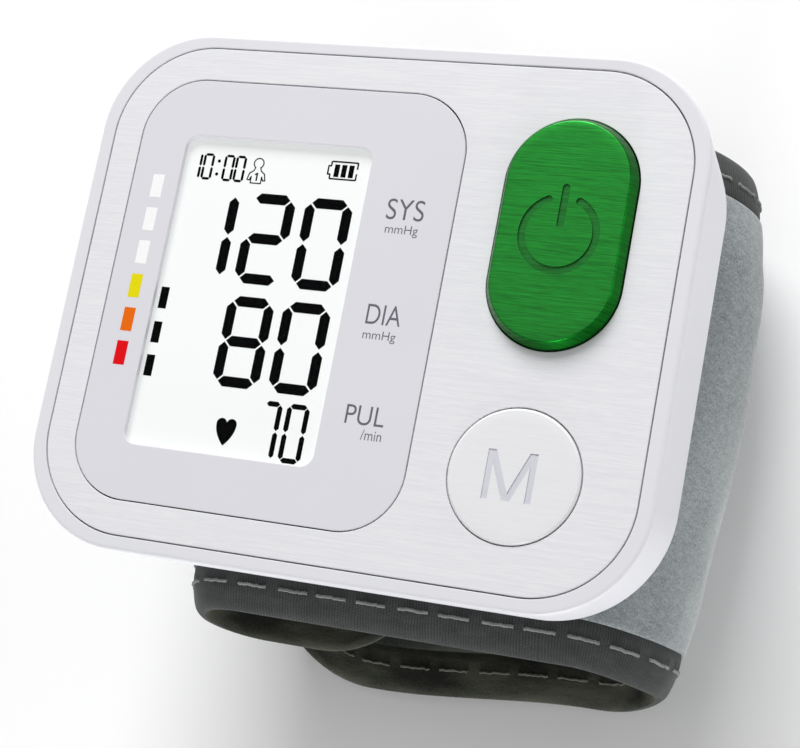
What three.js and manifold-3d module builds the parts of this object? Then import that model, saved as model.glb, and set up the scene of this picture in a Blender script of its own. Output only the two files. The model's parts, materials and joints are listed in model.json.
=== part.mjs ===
// Wrist blood pressure monitor: a flat case with a display and two push buttons, on a padded wrist cuff.
// Millimetres. X runs across the face, Y up the face and along the wrist, Z out of the face.
// The pieces are made with the face at z = 0 and the depth counted downwards. At the end the whole
// stands on its closed cuff, with the origin under the middle of its box.
import * as THREE from 'three';
import { mergeVertices } from 'three/addons/utils/BufferGeometryUtils.js';
import Module from 'manifold-3d';

const wasm = await Module();
wasm.setup();

// Clearances
const seatGap = 0.3; // between pieces that rest on or pass through each other
const touchGap = 0.05; // between flat faces laid on each other
const cutOver = 3; // how far a cutting body runs past what it cuts
const mergeStep = 0.0001;

// Fineness of round forms, in counts
const cornerSteps = 8;
const discSteps = 24;
const smallDiscSteps = 12;
const shoulderSteps = 3;
const backSteps = 5;
const tubeSides = 8;
const tubeRun = 10;
const springSides = 6;
const springTurnSteps = 10;
const gapTurnSteps = 60;
const bendSteps = 7;
const flatSteps = 4;
const columnShares = [-1, -0.8, -0.5, -0.17, 0.17, 0.5, 0.8, 1];
const tapeShares = [1, 0.62, 0.3, 0.08, 0];
const roundRowShares = [0, 0.12, 0.35, 0.65];

// Case
const caseWidth = 82;
const caseCorner = 13.8;
const cornerGrowthShare = 0.12;
const caseWall = 1.6;
const shoulder = 0.5;
const backRound = 6.5;
const sideDraftShare = 0.026;
const endDraftShare = 0.07;
const rearHeight = 5.6; // from the case's back to where the housings part
const lipHeight = 1.6;
const lipThickness = 0.8;
const deckThickness = 1.2;

// Front plate
const rimWidth = 2.15; // from the case's sides to the plate
const rimHeight = 2.05; // from its top and bottom
const plateCorner = 12.4;
const plateThickness = 0.8;
const plateGroove = 0.28;
const plateSink = 0.05;

// Display
const windowInset = 3.95; // from the plate's left side
const windowEnd = 4.4; // from its top and bottom
const buttonColumn = 28.75; // the plate's width beside the window
const windowCorner = 8;
const windowThickness = 0.7;
const scaleColumn = 6.6; // the window's width left of the view
const labelColumn = 12.1; // and right of it
const viewTop = 7.55; // from the window's top
const viewBottom = 7.15;
const viewCorner = 1.8;
const paneThickness = 0.4;
const paneGap = 0.1;
const lcdMargin = 1.9;
const lcdThickness = 2.2;
const frameWall = 1.8;
const frameLedge = 0.9;
const zebraThickness = 2;
const zebraEnd = 1.15; // in from the view's sides

// Circuit board
const boardLeft = 9; // in from the case's left side
const boardRight = 5; // and from its right side
const boardEnd = 9.5; // in from its top and bottom
const boardThickness = 1;
const boardCorner = 3;
const boardDepth = 5.5;
const boardScrewFar = 29.92; // two screws, in from the board's right side
const boardScrewEnd = 2.25; // and from its top and bottom
const boardScrewNear = 14.484; // one screw between the buttons
const boardScrewRise = 3.6; // and above the memory button
const boardScrewHead = 4;
const boardScrewHeadHeight = 1.3;
const boardScrewShank = 1.8;
const boardBoss = 4.4;

// Buttons and switches
const powerWidth = 16.7;
const buttonSpace = 7.35; // between the two buttons
const powerInset = 14.5; // its middle, from the plate's right side
const powerTop = 6.4; // its top, from the plate's top
const powerProud = 1.7;
const powerBevel = 0.68;
const powerBevelDrop = 1.5;
const memoryDiameter = 16.4;
const memoryInset = 15.2;
const memoryBottom = 5.65;
const memoryProud = 0.25;
const memoryBevel = 0.25;
const buttonPlay = 0.22;
const buttonFlange = 0.9;
const buttonFlangeThickness = 0.8;
const buttonTravel = 0.5;
const switchSide = 6;
const switchHeight = 0.9;
const plungerDiameter = 2.8;

// Battery bay and cover
const cellDiameter = 10.5;
const cellLength = 43.7;
const cellNub = 3.8;
const cellNubHeight = 0.8;
const cellPitch = 11;
const cellInset = 9.5; // the first cell's middle, from the case's side
const bayUnder = 0.2; // from the circuit board to the battery box
const bayEnd = 8.45; // from the battery box to the case's top and bottom
const bayWall = 0.9;
const bayRoof = 0.7;
const bayPlay = 0.25;
const springRoom = 4.6;
const plateRoom = 1.2;
const contactThickness = 0.4;
const contactWidth = 8;
const contactHeight = 8.6;
const springWire = 0.5;
const springBase = 6.2;
const springTop = 4.4;
const springTurns = 3;
const springLength = 3.4;
const coverEnd = 12.5; // from the case's top and bottom
const coverDepth = 12; // up the case's side from its back
const coverReach = 10.5;
const coverGap = 0.3;
const gripCount = 4;
const gripPitch = 1.3;
const gripWidth = 0.6;
const gripProud = 0.35;
const gripLength = 16;

// Case screws, driven from the back
const caseScrewInset = 9.5;
const caseScrewEnd = 2.55; // past the battery box
const caseBoss = 4.6;
const casePillar = 6.2;
const caseScrewHead = 4.2;
const caseScrewHeadHeight = 1.3;
const caseScrewShank = 2;
const caseScrewSink = 1.2;
const caseScrewLength = 11;

// Air system
const pumpDiameter = 11;
const pumpInset = 10; // its middle, from the case's side
const pumpUnder = 0.6; // from the circuit board to the pump
const pumpBottom = 9.5; // its tail end, from the case's bottom
const pumpFlat = 9.6;
const pumpTail = 3.6;
const headLength = 10;
const headSides = 8;
const nozzleDiameter = 2.4;
const nozzleLength = 2.6;
const cradleThickness = 2.5;
const cradleHeight = 4.6;
const cradleShares = [0.2, 0.8];
const valveWidth = 8;
const valveLength = 11;
const valveHeight = 9;
const valveInset = 12.8;
const valveSpace = 6.5; // between the pump and the valve
const valveTop = 12.2; // its far end, from the case's top
const sensorWidth = 8;
const sensorHeight = 4;
const sensorReach = 22; // its middle, left of the pump's
const sensorTop = 20.5; // its middle, from the case's top
const buzzerDiameter = 12.4;
const buzzerHeight = 3;
const buzzerBottom = 21.5; // its middle, from the case's bottom
const tubeOuter = 4;
const tubeBore = 2.9;
const hubDiameter = 7;
const hubBore = 4;
const hubHeight = 5;
const nippleInset = 1; // left of the middle of the cuff's posts
const nippleDiameter = 3.4;
const nippleDepth = 15;

// Cuff: one padded strip that runs round the wrist, closed on itself under the case
const cuffOverhang = 0.3; // past the case's top and bottom
const tapeWidth = 5.7;
const crownDrop = 1.2;
const tapeDrop = 0.9;
const tapeTipShare = 0.5;
const tapeTip = 1.6;
const skinCrown = 0.8;
const leftRadius = 11;
const leftInset = 21.1; // the left bend's middle, from the case's side
const rightRadius = 15.3;
const rightInset = 14.5; // and the right bend's
const tongueReach = 21.9; // its end, from the left bend's middle
const tongueCorner = 14;
const flapRamp = 13.9; // where it starts to rise, from the same place
const flapReach = 4.1; // how far it ends beyond it
const flapRise = 2.4;
const flapCorner = 20;
const floorFlat = 0.5;
const topThickness = 8;
const tongueThickness = 5;
const leftThickness = 5.5;
const bendThickness = 7;
const strapThickness = 6;
const flapThickness = 5;
const tongueShift = -5.6;
const topShift = -3.1;
const bendShift = -4.4;
const strapShift = -6.8;
const flapShift = -9.2;

// Inside the cuff, and what holds it to the case
const pocketTopCover = 1.4;
const pocketLeft = 9; // past the posts
const pocketRight = 5;
const pocketEnd = 7;
const pocketDepth = 4.6;
const pocketCorner = 4;
const stiffenerThickness = 1.2;
const bladderThickness = 2.4;
const postDiameter = 5;
const postFromBay = 5.1; // from the battery box to the nearer posts
const postFromPump = 6.5; // from the pump to the others
const postEnd = 16.5; // from the case's top and bottom
const cuffScrewHead = 5.4;
const cuffScrewHeadHeight = 1.2;
const cuffScrewShank = 2.2;
const cuffScrewLength = 3.6;
const hookThickness = 1;
const hookEdge = 12.8; // in from the strip's edges
const hookStart = 1; // short of the flap's rise
const hookEnd = 5; // short of its end

// Sizes of the case that follow from the board and the cells in it
const boardUnderside = boardDepth + boardThickness;
const bayTopDepth = boardUnderside + bayUnder + bayRoof;
const cellDepth = bayTopDepth + bayPlay + cellDiameter / 2;
const backInside = cellDepth + cellDiameter / 2 + bayPlay;
const caseDepth = backInside + caseWall;
const bayHalfLength = (cellLength + cellNubHeight + springRoom + plateRoom) / 2;
const caseHeight = 2 * (bayHalfLength + bayWall + bayEnd);
const partingDepth = caseDepth - rearHeight;
const coverTopDepth = caseDepth - coverDepth;

// Sizes and places on the face that follow from those above
const plateWidth = caseWidth - 2 * rimWidth;
const plateHeight = caseHeight - 2 * rimHeight;
const windowWidth = plateWidth - windowInset - buttonColumn;
const windowHeight = plateHeight - 2 * windowEnd;
const windowX = (windowInset - buttonColumn) / 2;
const viewWidth = windowWidth - scaleColumn - labelColumn;
const viewHeight = windowHeight - viewTop - viewBottom;
const viewX = windowX + (scaleColumn - labelColumn) / 2;
const viewY = (viewBottom - viewTop) / 2;
const zebraLength = viewWidth - 2 * zebraEnd;
const powerHeight = plateHeight - powerTop - buttonSpace - memoryDiameter - memoryBottom;
const powerX = plateWidth / 2 - powerInset;
const powerY = (plateHeight - powerHeight) / 2 - powerTop;
const memoryX = plateWidth / 2 - memoryInset;
const memoryY = (memoryDiameter - plateHeight) / 2 + memoryBottom;

// Places inside the case that follow from them
const boardWidth = caseWidth - boardLeft - boardRight;
const boardHeight = caseHeight - 2 * boardEnd;
const boardX = (boardLeft - boardRight) / 2;
const boardScrewPlaces = [
  { x: boardX + boardWidth / 2 - boardScrewFar, y: boardHeight / 2 - boardScrewEnd },
  { x: boardX + boardWidth / 2 - boardScrewFar, y: boardScrewEnd - boardHeight / 2 },
  { x: boardX + boardWidth / 2 - boardScrewNear, y: memoryY + memoryDiameter / 2 + boardScrewRise },
];
const cellFirstX = cellInset - caseWidth / 2;
const cellRightX = cellFirstX + cellPitch + cellDiameter / 2 + bayPlay;
const caseScrewX = caseWidth / 2 - caseScrewInset;
const caseScrewY = bayHalfLength + bayWall + caseScrewEnd;
const coverHeight = caseHeight - 2 * coverEnd;
const pumpX = caseWidth / 2 - pumpInset;
const pumpDepth = boardUnderside + pumpUnder + pumpDiameter / 2;
const pumpStartY = pumpBottom - caseHeight / 2;
const valveX = caseWidth / 2 - valveInset;
const valveY = (caseHeight - valveLength) / 2 - valveTop;
const pumpEndY = valveY - valveLength / 2 - valveSpace;
const motorLength = pumpEndY - headLength - seatGap - pumpStartY;
const sensorPlace = { x: pumpX - sensorReach, y: caseHeight / 2 - sensorTop };
const buzzerPlace = { x: pumpX - sensorReach, y: buzzerBottom - caseHeight / 2 };
const postLeftX = cellRightX + bayWall + postFromBay;
const postRightX = pumpX - pumpDiameter / 2 - postFromPump;
const postY = caseHeight / 2 - postEnd;
const nipplePlace = { x: (postLeftX + postRightX) / 2 - nippleInset, y: 0 };

// Places on the cuff that follow from them
const stripHalfWidth = caseHeight / 2 + cuffOverhang;
const leftX = leftInset - caseWidth / 2;
const rightX = caseWidth / 2 - rightInset;
const tongueEndX = leftX + tongueReach;
const flapRampX = leftX + flapRamp;
const flapEndX = leftX - flapReach;
const pocketWidth = postRightX - postLeftX + pocketLeft + pocketRight;
const pocketLength = 2 * (postY + pocketEnd);
const pocketX = (postLeftX + postRightX + pocketRight - pocketLeft) / 2;
const hookHalf = stripHalfWidth - hookEdge;
const hookStartX = flapRampX + hookStart;
const hookEndX = flapEndX + hookEnd;

// Depths that follow
const plateSeatDepth = plateSink + plateThickness + seatGap;
const deckUnderside = plateSeatDepth + deckThickness;
const lcdDepth = plateSink + windowThickness + seatGap;
const cuffDepth = caseDepth + seatGap;
const stripDepth = cuffDepth + rightRadius * 2;

// Finishes
const finishes = {
  whitePlastic: { color: 0xe9e9ee, roughness: 0.45, metalness: 0 },
  brushedPlate: { color: 0xe8e8ea, roughness: 0.35, metalness: 0.3 },
  greyPanel: { color: 0xdcdce1, roughness: 0.5, metalness: 0 },
  clearPane: { color: 0xf4f6f6, roughness: 0.1, metalness: 0 },
  lcdGlass: { color: 0xf6f8f7, roughness: 0.2, metalness: 0 },
  greenButton: { color: 0x1f8a33, roughness: 0.35, metalness: 0.3 },
  paleButton: { color: 0xe4e4ea, roughness: 0.4, metalness: 0.1 },
  boardGreen: { color: 0x1d5a35, roughness: 0.5, metalness: 0 },
  blackPlastic: { color: 0x26272a, roughness: 0.5, metalness: 0 },
  steel: { color: 0xb8bbc0, roughness: 0.3, metalness: 1 },
  silicone: { color: 0xd6d4cc, roughness: 0.6, metalness: 0 },
  cellJacket: { color: 0x8d939b, roughness: 0.35, metalness: 0.5 },
  velvet: { color: 0x8d979a, roughness: 0.95, metalness: 0 },
  tape: { color: 0x3b3d40, roughness: 0.9, metalness: 0 },
};

// Solids and outlines

function toSolid(geometry) {
  const bare = geometry.index ? geometry.toNonIndexed() : geometry.clone();
  bare.deleteAttribute('normal');
  bare.deleteAttribute('uv');
  const merged = mergeVertices(bare, mergeStep);
  const triVerts = new Uint32Array(merged.index.array);
  const vertProperties = merged.attributes.position.array;
  return new wasm.Manifold(new wasm.Mesh({ numProp: 3, vertProperties, triVerts }));
}

function toGeometry(solid) {
  const mesh = solid.getMesh();
  const geometry = new THREE.BufferGeometry();
  geometry.setAttribute('position', new THREE.BufferAttribute(mesh.vertProperties, 3));
  geometry.setIndex(new THREE.BufferAttribute(mesh.triVerts, 1));
  geometry.computeVertexNormals();
  return geometry;
}

function join(...solids) {
  return solids.reduce((whole, piece) => whole.add(piece));
}

function cut(body, ...tools) {
  return tools.reduce((rest, tool) => rest.subtract(tool), body);
}

// A rounded rectangle, anticlockwise. A radius of half the width makes an obround.
function roundedOutline(width, height, radius, centreX = 0, centreY = 0) {
  const corners = [[1, 1], [-1, 1], [-1, -1], [1, -1]];
  const points = [];
  corners.forEach(([sideX, sideY], quarter) => {
    for (let step = 0; step <= cornerSteps; step += 1) {
      const angle = ((quarter + step / cornerSteps) * Math.PI) / 2;
      const x = centreX + sideX * (width / 2 - radius) + radius * Math.cos(angle);
      const y = centreY + sideY * (height / 2 - radius) + radius * Math.sin(angle);
      points.push(new THREE.Vector2(x, y));
    }
  });
  return points.filter((point, i) => {
    const before = points[(i + points.length - 1) % points.length];
    return point.distanceTo(before) > mergeStep;
  });
}

// An outline pulled up from one depth to a smaller one
function prism(points, lowDepth, highDepth) {
  const shape = new THREE.Shape(points);
  const depth = lowDepth - highDepth;
  const geometry = new THREE.ExtrudeGeometry(shape, { depth, bevelEnabled: false });
  return toSolid(geometry.translate(0, 0, -lowDepth));
}

function block(width, height, lowDepth, highDepth, centreX = 0, centreY = 0) {
  const geometry = new THREE.BoxGeometry(width, height, lowDepth - highDepth);
  return toSolid(geometry.translate(centreX, centreY, -(lowDepth + highDepth) / 2));
}

function disc(diameter, lowDepth, highDepth, centreX = 0, centreY = 0, steps = discSteps) {
  const radius = diameter / 2;
  const geometry = new THREE.CylinderGeometry(radius, radius, lowDepth - highDepth, steps);
  geometry.rotateX(Math.PI / 2);
  return toSolid(geometry.translate(centreX, centreY, -(lowDepth + highDepth) / 2));
}

// A round bar along Y
function bar(diameter, startY, endY, centreX, depth, steps = discSteps) {
  const geometry = new THREE.CylinderGeometry(diameter / 2, diameter / 2, endY - startY, steps);
  return toSolid(geometry.translate(centreX, (startY + endY) / 2, -depth));
}

// Rings of equal count, given from the lowest up, joined into a closed body
function loft(rings) {
  const count = rings[0].points.length;
  const positions = rings.flatMap(({ points, depth }) => points.flatMap((p) => [p.x, p.y, -depth]));
  const index = [];
  for (let level = 0; level + 1 < rings.length; level += 1) {
    for (let i = 0; i < count; i += 1) {
      const a = level * count + i;
      const b = level * count + ((i + 1) % count);
      index.push(a, b, b + count, a, b + count, a + count);
    }
  }
  const top = (rings.length - 1) * count;
  for (let i = 1; i + 1 < count; i += 1) {
    index.push(0, i + 1, i, top, top + i, top + i + 1);
  }
  return toSolid(indexedGeometry(positions, index));
}

function indexedGeometry(positions, index) {
  const geometry = new THREE.BufferGeometry();
  geometry.setAttribute('position', new THREE.Float32BufferAttribute(positions, 3));
  geometry.setIndex(index);
  return geometry;
}

// A round wire or tube along a curve, closed at both ends
function sweep(extrudePath, diameter, steps, sides) {
  const section = new THREE.Shape();
  section.absarc(0, 0, diameter / 2, 0, Math.PI * 2);
  const options = { steps, extrudePath, bevelEnabled: false, curveSegments: sides / 2 };
  return new THREE.ExtrudeGeometry(section, options);
}

function tube(points) {
  return toSolid(sweep(new THREE.CatmullRomCurve3(points), tubeOuter, tubeRun, tubeSides));
}

function at(x, y, depth) {
  return new THREE.Vector3(x, y, -depth);
}

// Case

// How far the case's side stands in from its widest line, and how much further a wall's inner face does
function caseInset(depth, draftShare, thickness) {
  const shoulderLeft = Math.max(0, shoulder - depth);
  const shoulderInset = shoulder - Math.sqrt(shoulder ** 2 - shoulderLeft ** 2);
  const wallInset = Math.max(0, depth - shoulder) * draftShare;
  const radius = backRound - thickness;
  const roundLeft = Math.min(radius, Math.max(0, depth - (caseDepth - backRound)));
  return shoulderInset + wallInset + thickness + radius - Math.sqrt(radius ** 2 - roundLeft ** 2);
}

function caseRing(depth, thickness) {
  const insetX = caseInset(depth, sideDraftShare, thickness);
  const insetY = caseInset(depth, endDraftShare, thickness);
  const corner = caseCorner + depth * cornerGrowthShare - Math.min(insetX, insetY);
  const points = roundedOutline(caseWidth - 2 * insetX, caseHeight - 2 * insetY, corner);
  return { points, depth };
}

// The case's form from its back up to the face, or its hollow when a thickness is given
function caseForm(thickness, topDepth, bottomDepth) {
  const depths = [];
  const roundStart = caseDepth - backRound;
  for (let step = backSteps; step > 0; step -= 1) {
    const angle = (step / backSteps) * (Math.PI / 2);
    depths.push(roundStart + (backRound - thickness) * Math.sin(angle));
  }
  depths.push(roundStart);
  for (let step = shoulderSteps; step >= 0; step -= 1) {
    const angle = (step / shoulderSteps) * (Math.PI / 2);
    depths.push(shoulder * (1 - Math.cos(angle)));
  }
  const used = depths.filter((depth) => depth > topDepth + mergeStep && depth < bottomDepth - mergeStep);
  return loft([bottomDepth, ...used, topDepth].map((depth) => caseRing(depth, thickness)));
}

const caseShell = cut(caseForm(0, 0, caseDepth), caseForm(caseWall, deckUnderside, backInside));

function halfSpace(lowDepth, highDepth) {
  return block(caseWidth * 2, caseHeight * 2, lowDepth, highDepth);
}

// The space that the battery cover fills, or with its gap the hole for it
function coverSpace(gap) {
  const width = coverReach + cutOver;
  const centreX = -caseWidth / 2 + coverReach - width / 2;
  return block(width + 2 * gap, coverHeight + 2 * gap, caseDepth + cutOver, coverTopDepth - gap, centreX);
}

const cornerSides = [[1, 1], [-1, 1], [-1, -1], [1, -1]];

const caseScrewPlaces = cornerSides.map(([sideX, sideY]) => (
  { x: sideX * caseScrewX, y: sideY * caseScrewY }
));

// The cuff's posts, which come through the case's back
const postPlaces = cornerSides.map(([sideX, sideY]) => (
  { x: sideX > 0 ? postRightX : postLeftX, y: sideY * postY }
));

function smallDisc(diameter, lowDepth, highDepth, { x, y }) {
  return disc(diameter, lowDepth, highDepth, x, y, smallDiscSteps);
}

function smallBar(diameter, startY, endY, centreX, depth) {
  return bar(diameter, startY, endY, centreX, depth, smallDiscSteps);
}

function powerOutline(spread) {
  const width = powerWidth + 2 * spread;
  return roundedOutline(width, powerHeight + 2 * spread, width / 2, powerX, powerY);
}

function frontHousing() {
  const pocketWide = plateWidth + 2 * plateGroove;
  const pocketHigh = plateHeight + 2 * plateGroove;
  const pocket = roundedOutline(pocketWide, pocketHigh, plateCorner + plateGroove);
  const lcdWide = viewWidth + 2 * (lcdMargin + seatGap);
  const lcdHigh = viewHeight + 2 * (lcdMargin + seatGap);
  const holeSpread = buttonPlay + plateGroove;
  let body = cut(
    caseShell,
    prism(pocket, plateSeatDepth, -cutOver),
    block(lcdWide, lcdHigh, deckUnderside + cutOver, 0, viewX, viewY),
    prism(powerOutline(holeSpread), deckUnderside + cutOver, 0),
    disc(memoryDiameter + 2 * holeSpread, deckUnderside + cutOver, 0, memoryX, memoryY),
    halfSpace(caseDepth + cutOver, partingDepth),
    coverSpace(coverGap),
  );
  const bossTop = deckUnderside - deckThickness / 2;
  for (const place of caseScrewPlaces) {
    const boss = smallDisc(caseBoss, partingDepth, bossTop, place);
    const bore = smallDisc(caseScrewShank + 2 * seatGap, partingDepth + cutOver, deckUnderside, place);
    body = join(body, boss).subtract(bore);
  }
  for (const place of boardScrewPlaces) {
    const low = boardDepth - seatGap;
    const boss = smallDisc(boardBoss, low, bossTop, place);
    const bore = smallDisc(boardScrewShank + 2 * seatGap, low + cutOver, deckUnderside, place);
    body = join(body, boss).subtract(bore);
  }
  return body;
}

// The battery box, with its roof under the circuit board
function batteryBox(grown) {
  const rightX = cellRightX + grown;
  const leftX = -caseWidth / 2;
  const high = bayTopDepth - (grown > 0 ? bayRoof : 0);
  const low = backInside + (grown > 0 ? touchGap : 0);
  return block(rightX - leftX, 2 * (bayHalfLength + grown), low, high, (rightX + leftX) / 2);
}

function rearHousing() {
  const top = partingDepth + seatGap;
  let body = caseShell.subtract(halfSpace(top, -cutOver));
  const inner = caseForm(caseWall, deckUnderside, backInside);
  const lipOuter = caseForm(caseWall + seatGap, deckUnderside, backInside);
  const lipInner = caseForm(caseWall + seatGap + lipThickness, deckUnderside, backInside);
  const lipBand = halfSpace(top + cutOver, top - lipHeight);
  body = join(body, cut(lipOuter, lipInner).intersect(lipBand));
  body = join(body, batteryBox(bayWall).intersect(lipOuter));
  const whole = caseForm(0, 0, caseDepth);
  for (const place of caseScrewPlaces) {
    body = join(body, smallDisc(casePillar, caseDepth - touchGap, top, place).intersect(whole));
  }
  const cradleLow = backInside + touchGap;
  for (const share of cradleShares) {
    const y = pumpStartY + share * motorLength;
    const cradle = block(pumpDiameter, cradleThickness, cradleLow, backInside - cradleHeight, pumpX, y);
    body = join(body, cradle.intersect(inner.add(body)));
  }
  body = cut(
    body,
    bar(pumpDiameter + 2 * seatGap, pumpStartY - seatGap, pumpEndY, pumpX, pumpDepth),
    batteryBox(0),
    coverSpace(coverGap),
    smallDisc(nippleDiameter + 2 * seatGap, caseDepth + cutOver, backInside - cutOver, nipplePlace),
  );
  const sink = caseDepth - caseScrewSink - caseScrewHeadHeight;
  const lipTop = top - lipHeight - cutOver;
  for (const place of caseScrewPlaces) {
    const bore = smallDisc(caseScrewShank + 2 * seatGap, caseDepth, lipTop, place);
    const headHole = smallDisc(caseScrewHead + 2 * seatGap, caseDepth + cutOver, sink - seatGap, place);
    const bossHole = smallDisc(caseBoss + 2 * seatGap, top, lipTop, place);
    body = cut(body, bore, headHole, bossHole);
  }
  return cut(body, ...postPlaces.map((place) => (
    smallDisc(postDiameter + 2 * seatGap, caseDepth + cutOver, backInside - cutOver, place)
  )));
}

function batteryCover() {
  let body = caseShell.intersect(coverSpace(0));
  const gripMiddle = (coverTopDepth + caseDepth - backRound) / 2;
  const gripX = -caseWidth / 2 + caseInset(gripMiddle, sideDraftShare, 0);
  const gripDepth = gripProud + caseWall / 2;
  for (let i = 0; i < gripCount; i += 1) {
    const depth = gripMiddle + (i - (gripCount - 1) / 2) * gripPitch;
    const low = depth + gripWidth / 2;
    body = join(body, block(gripDepth, gripLength, low, low - gripWidth, gripX - gripProud + gripDepth / 2));
  }
  return body;
}

function frontPlate() {
  const outline = roundedOutline(plateWidth, plateHeight, plateCorner);
  const low = plateSink + plateThickness;
  return cut(
    prism(outline, low, plateSink),
    prism(windowOutline(plateGroove), low + cutOver, -cutOver),
    prism(powerOutline(buttonPlay), low + cutOver, -cutOver),
    disc(memoryDiameter + 2 * buttonPlay, low + cutOver, -cutOver, memoryX, memoryY),
  );
}

function windowOutline(spread) {
  return roundedOutline(windowWidth + 2 * spread, windowHeight + 2 * spread, windowCorner + spread, windowX);
}

function viewOutline(spread) {
  return roundedOutline(viewWidth + 2 * spread, viewHeight + 2 * spread, viewCorner + spread, viewX, viewY);
}

function displayWindow() {
  const low = plateSink + windowThickness;
  return prism(windowOutline(0), low, plateSink).subtract(prism(viewOutline(0), low + cutOver, -cutOver));
}

function windowPane() {
  return prism(viewOutline(-paneGap), plateSink + paneThickness, plateSink);
}

function lcdPanel() {
  const wide = viewWidth + 2 * lcdMargin;
  const high = viewHeight + 2 * lcdMargin;
  return block(wide, high, lcdDepth + lcdThickness, lcdDepth, viewX, viewY);
}

function lcdFrame() {
  const innerWide = viewWidth + 2 * (lcdMargin + seatGap);
  const innerHigh = viewHeight + 2 * (lcdMargin + seatGap);
  const low = boardDepth - touchGap;
  const high = deckUnderside + touchGap;
  const outer = block(innerWide + 2 * frameWall, innerHigh + 2 * frameWall, low, high, viewX, viewY);
  const ledgeDepth = lcdDepth + lcdThickness + touchGap;
  const upper = block(innerWide, innerHigh, ledgeDepth, high - cutOver, viewX, viewY);
  const lower = block(innerWide - 2 * frameLedge, innerHigh - 2 * frameLedge, low + cutOver, 0, viewX, viewY);
  return cut(outer, upper, lower);
}

function zebraStrip(side) {
  const edge = viewHeight / 2 + lcdMargin - frameLedge;
  const y = viewY + side * (edge - zebraThickness / 2 - seatGap);
  const high = lcdDepth + lcdThickness + touchGap;
  return block(zebraLength, zebraThickness, boardDepth - touchGap, high, viewX, y);
}

function circuitBoard() {
  const outline = roundedOutline(boardWidth, boardHeight, boardCorner, boardX);
  const holes = boardScrewPlaces.map((place) => (
    smallDisc(boardScrewShank + 2 * seatGap, boardUnderside + cutOver, boardDepth - cutOver, place)
  ));
  return cut(prism(outline, boardUnderside, boardDepth), ...holes);
}

// A pan head screw along Z: the head, then a shank that runs up or down from it
function screw(headDiameter, headHeight, shankDiameter, length, upwards) {
  const headRadius = headDiameter / 2;
  const shankRadius = shankDiameter / 2;
  const slotWidth = shankRadius / 2;
  const profile = [
    new THREE.Vector2(0, -headHeight),
    new THREE.Vector2(headRadius - headHeight / 2, -headHeight),
    new THREE.Vector2(headRadius, -headHeight / 2),
    new THREE.Vector2(headRadius, 0),
    new THREE.Vector2(shankRadius, 0),
    new THREE.Vector2(shankRadius, length - shankRadius),
    new THREE.Vector2(0, length),
  ];
  const body = new THREE.LatheGeometry(profile, smallDiscSteps).rotateX(Math.PI / 2);
  let solid = toSolid(body);
  for (const turn of [0, Math.PI / 2]) {
    const slot = new THREE.BoxGeometry(headRadius, slotWidth, headHeight).rotateZ(turn);
    solid = solid.subtract(toSolid(slot.translate(0, 0, -headHeight)));
  }
  const geometry = toGeometry(solid);
  return upwards ? geometry : geometry.rotateX(Math.PI);
}

// Buttons: a cap that stands through the plate, with a flange under the deck that keeps it in

function buttonRings(outlineAt, proud, bevel, bevelDrop) {
  const flangeTop = deckUnderside + seatGap;
  const flangeLow = flangeTop + buttonFlangeThickness;
  return [
    { points: outlineAt(buttonFlange), depth: flangeLow },
    { points: outlineAt(buttonFlange), depth: flangeTop },
    { points: outlineAt(0), depth: flangeTop },
    { points: outlineAt(0), depth: bevelDrop - proud },
    { points: outlineAt(-bevel), depth: -proud },
  ];
}

function powerButton() {
  return loft(buttonRings(powerOutline, powerProud, powerBevel, powerBevelDrop));
}

function memoryOutline(spread) {
  const diameter = memoryDiameter + 2 * spread;
  return roundedOutline(diameter, diameter, diameter / 2, memoryX, memoryY);
}

function memoryButton() {
  return loft(buttonRings(memoryOutline, memoryProud, memoryBevel, memoryBevel));
}

function tactSwitch(x, y) {
  const low = boardDepth - touchGap;
  const high = low - switchHeight;
  const body = block(switchSide, switchSide, low, high, x, y);
  return body.subtract(smallDisc(plungerDiameter + 2 * seatGap, low + cutOver, high - cutOver, { x, y }));
}

function switchPlunger(x, y) {
  const high = deckUnderside + seatGap + buttonFlangeThickness + touchGap;
  const low = boardDepth - buttonTravel - seatGap;
  return smallDisc(plungerDiameter, low, high, { x, y });
}

// Battery bay

// Each cell's place: its spring end points to side
const cells = [
  { name: '1', x: cellFirstX, side: -1 },
  { name: '2', x: cellFirstX + cellPitch, side: 1 },
];

function cell({ x, side }) {
  const springEnd = side * (bayHalfLength - springRoom);
  const canEnd = springEnd - side * cellLength;
  const nubEnd = canEnd - side * cellNubHeight;
  const can = bar(cellDiameter, Math.min(springEnd, canEnd), Math.max(springEnd, canEnd), x, cellDepth);
  const overlap = canEnd + side * cellNubHeight;
  const nub = smallBar(cellNub, Math.min(nubEnd, overlap), Math.max(nubEnd, overlap), x, cellDepth);
  return join(can, nub);
}

function contactPlate(side) {
  const centreX = cellFirstX + cellPitch / 2;
  const y = side * (bayHalfLength - touchGap - contactThickness / 2);
  const wide = cellPitch + contactWidth;
  const half = contactHeight / 2;
  return block(wide, contactThickness, cellDepth + half, cellDepth - half, centreX, y);
}

class ConeHelix extends THREE.Curve {
  getPoint(t, target = new THREE.Vector3()) {
    const angle = t * springTurns * Math.PI * 2;
    const radius = (springBase + (springTop - springBase) * t) / 2;
    return target.set(radius * Math.cos(angle), t * (springLength - springWire), radius * Math.sin(angle));
  }
}

function batterySpring({ x, side }) {
  const geometry = sweep(new ConeHelix(), springWire, springTurns * springTurnSteps, springSides);
  geometry.rotateX(side > 0 ? Math.PI : 0);
  const start = bayHalfLength - 2 * touchGap - contactThickness - springWire / 2 - touchGap;
  return toSolid(geometry.translate(x, side * start, -cellDepth));
}

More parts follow.
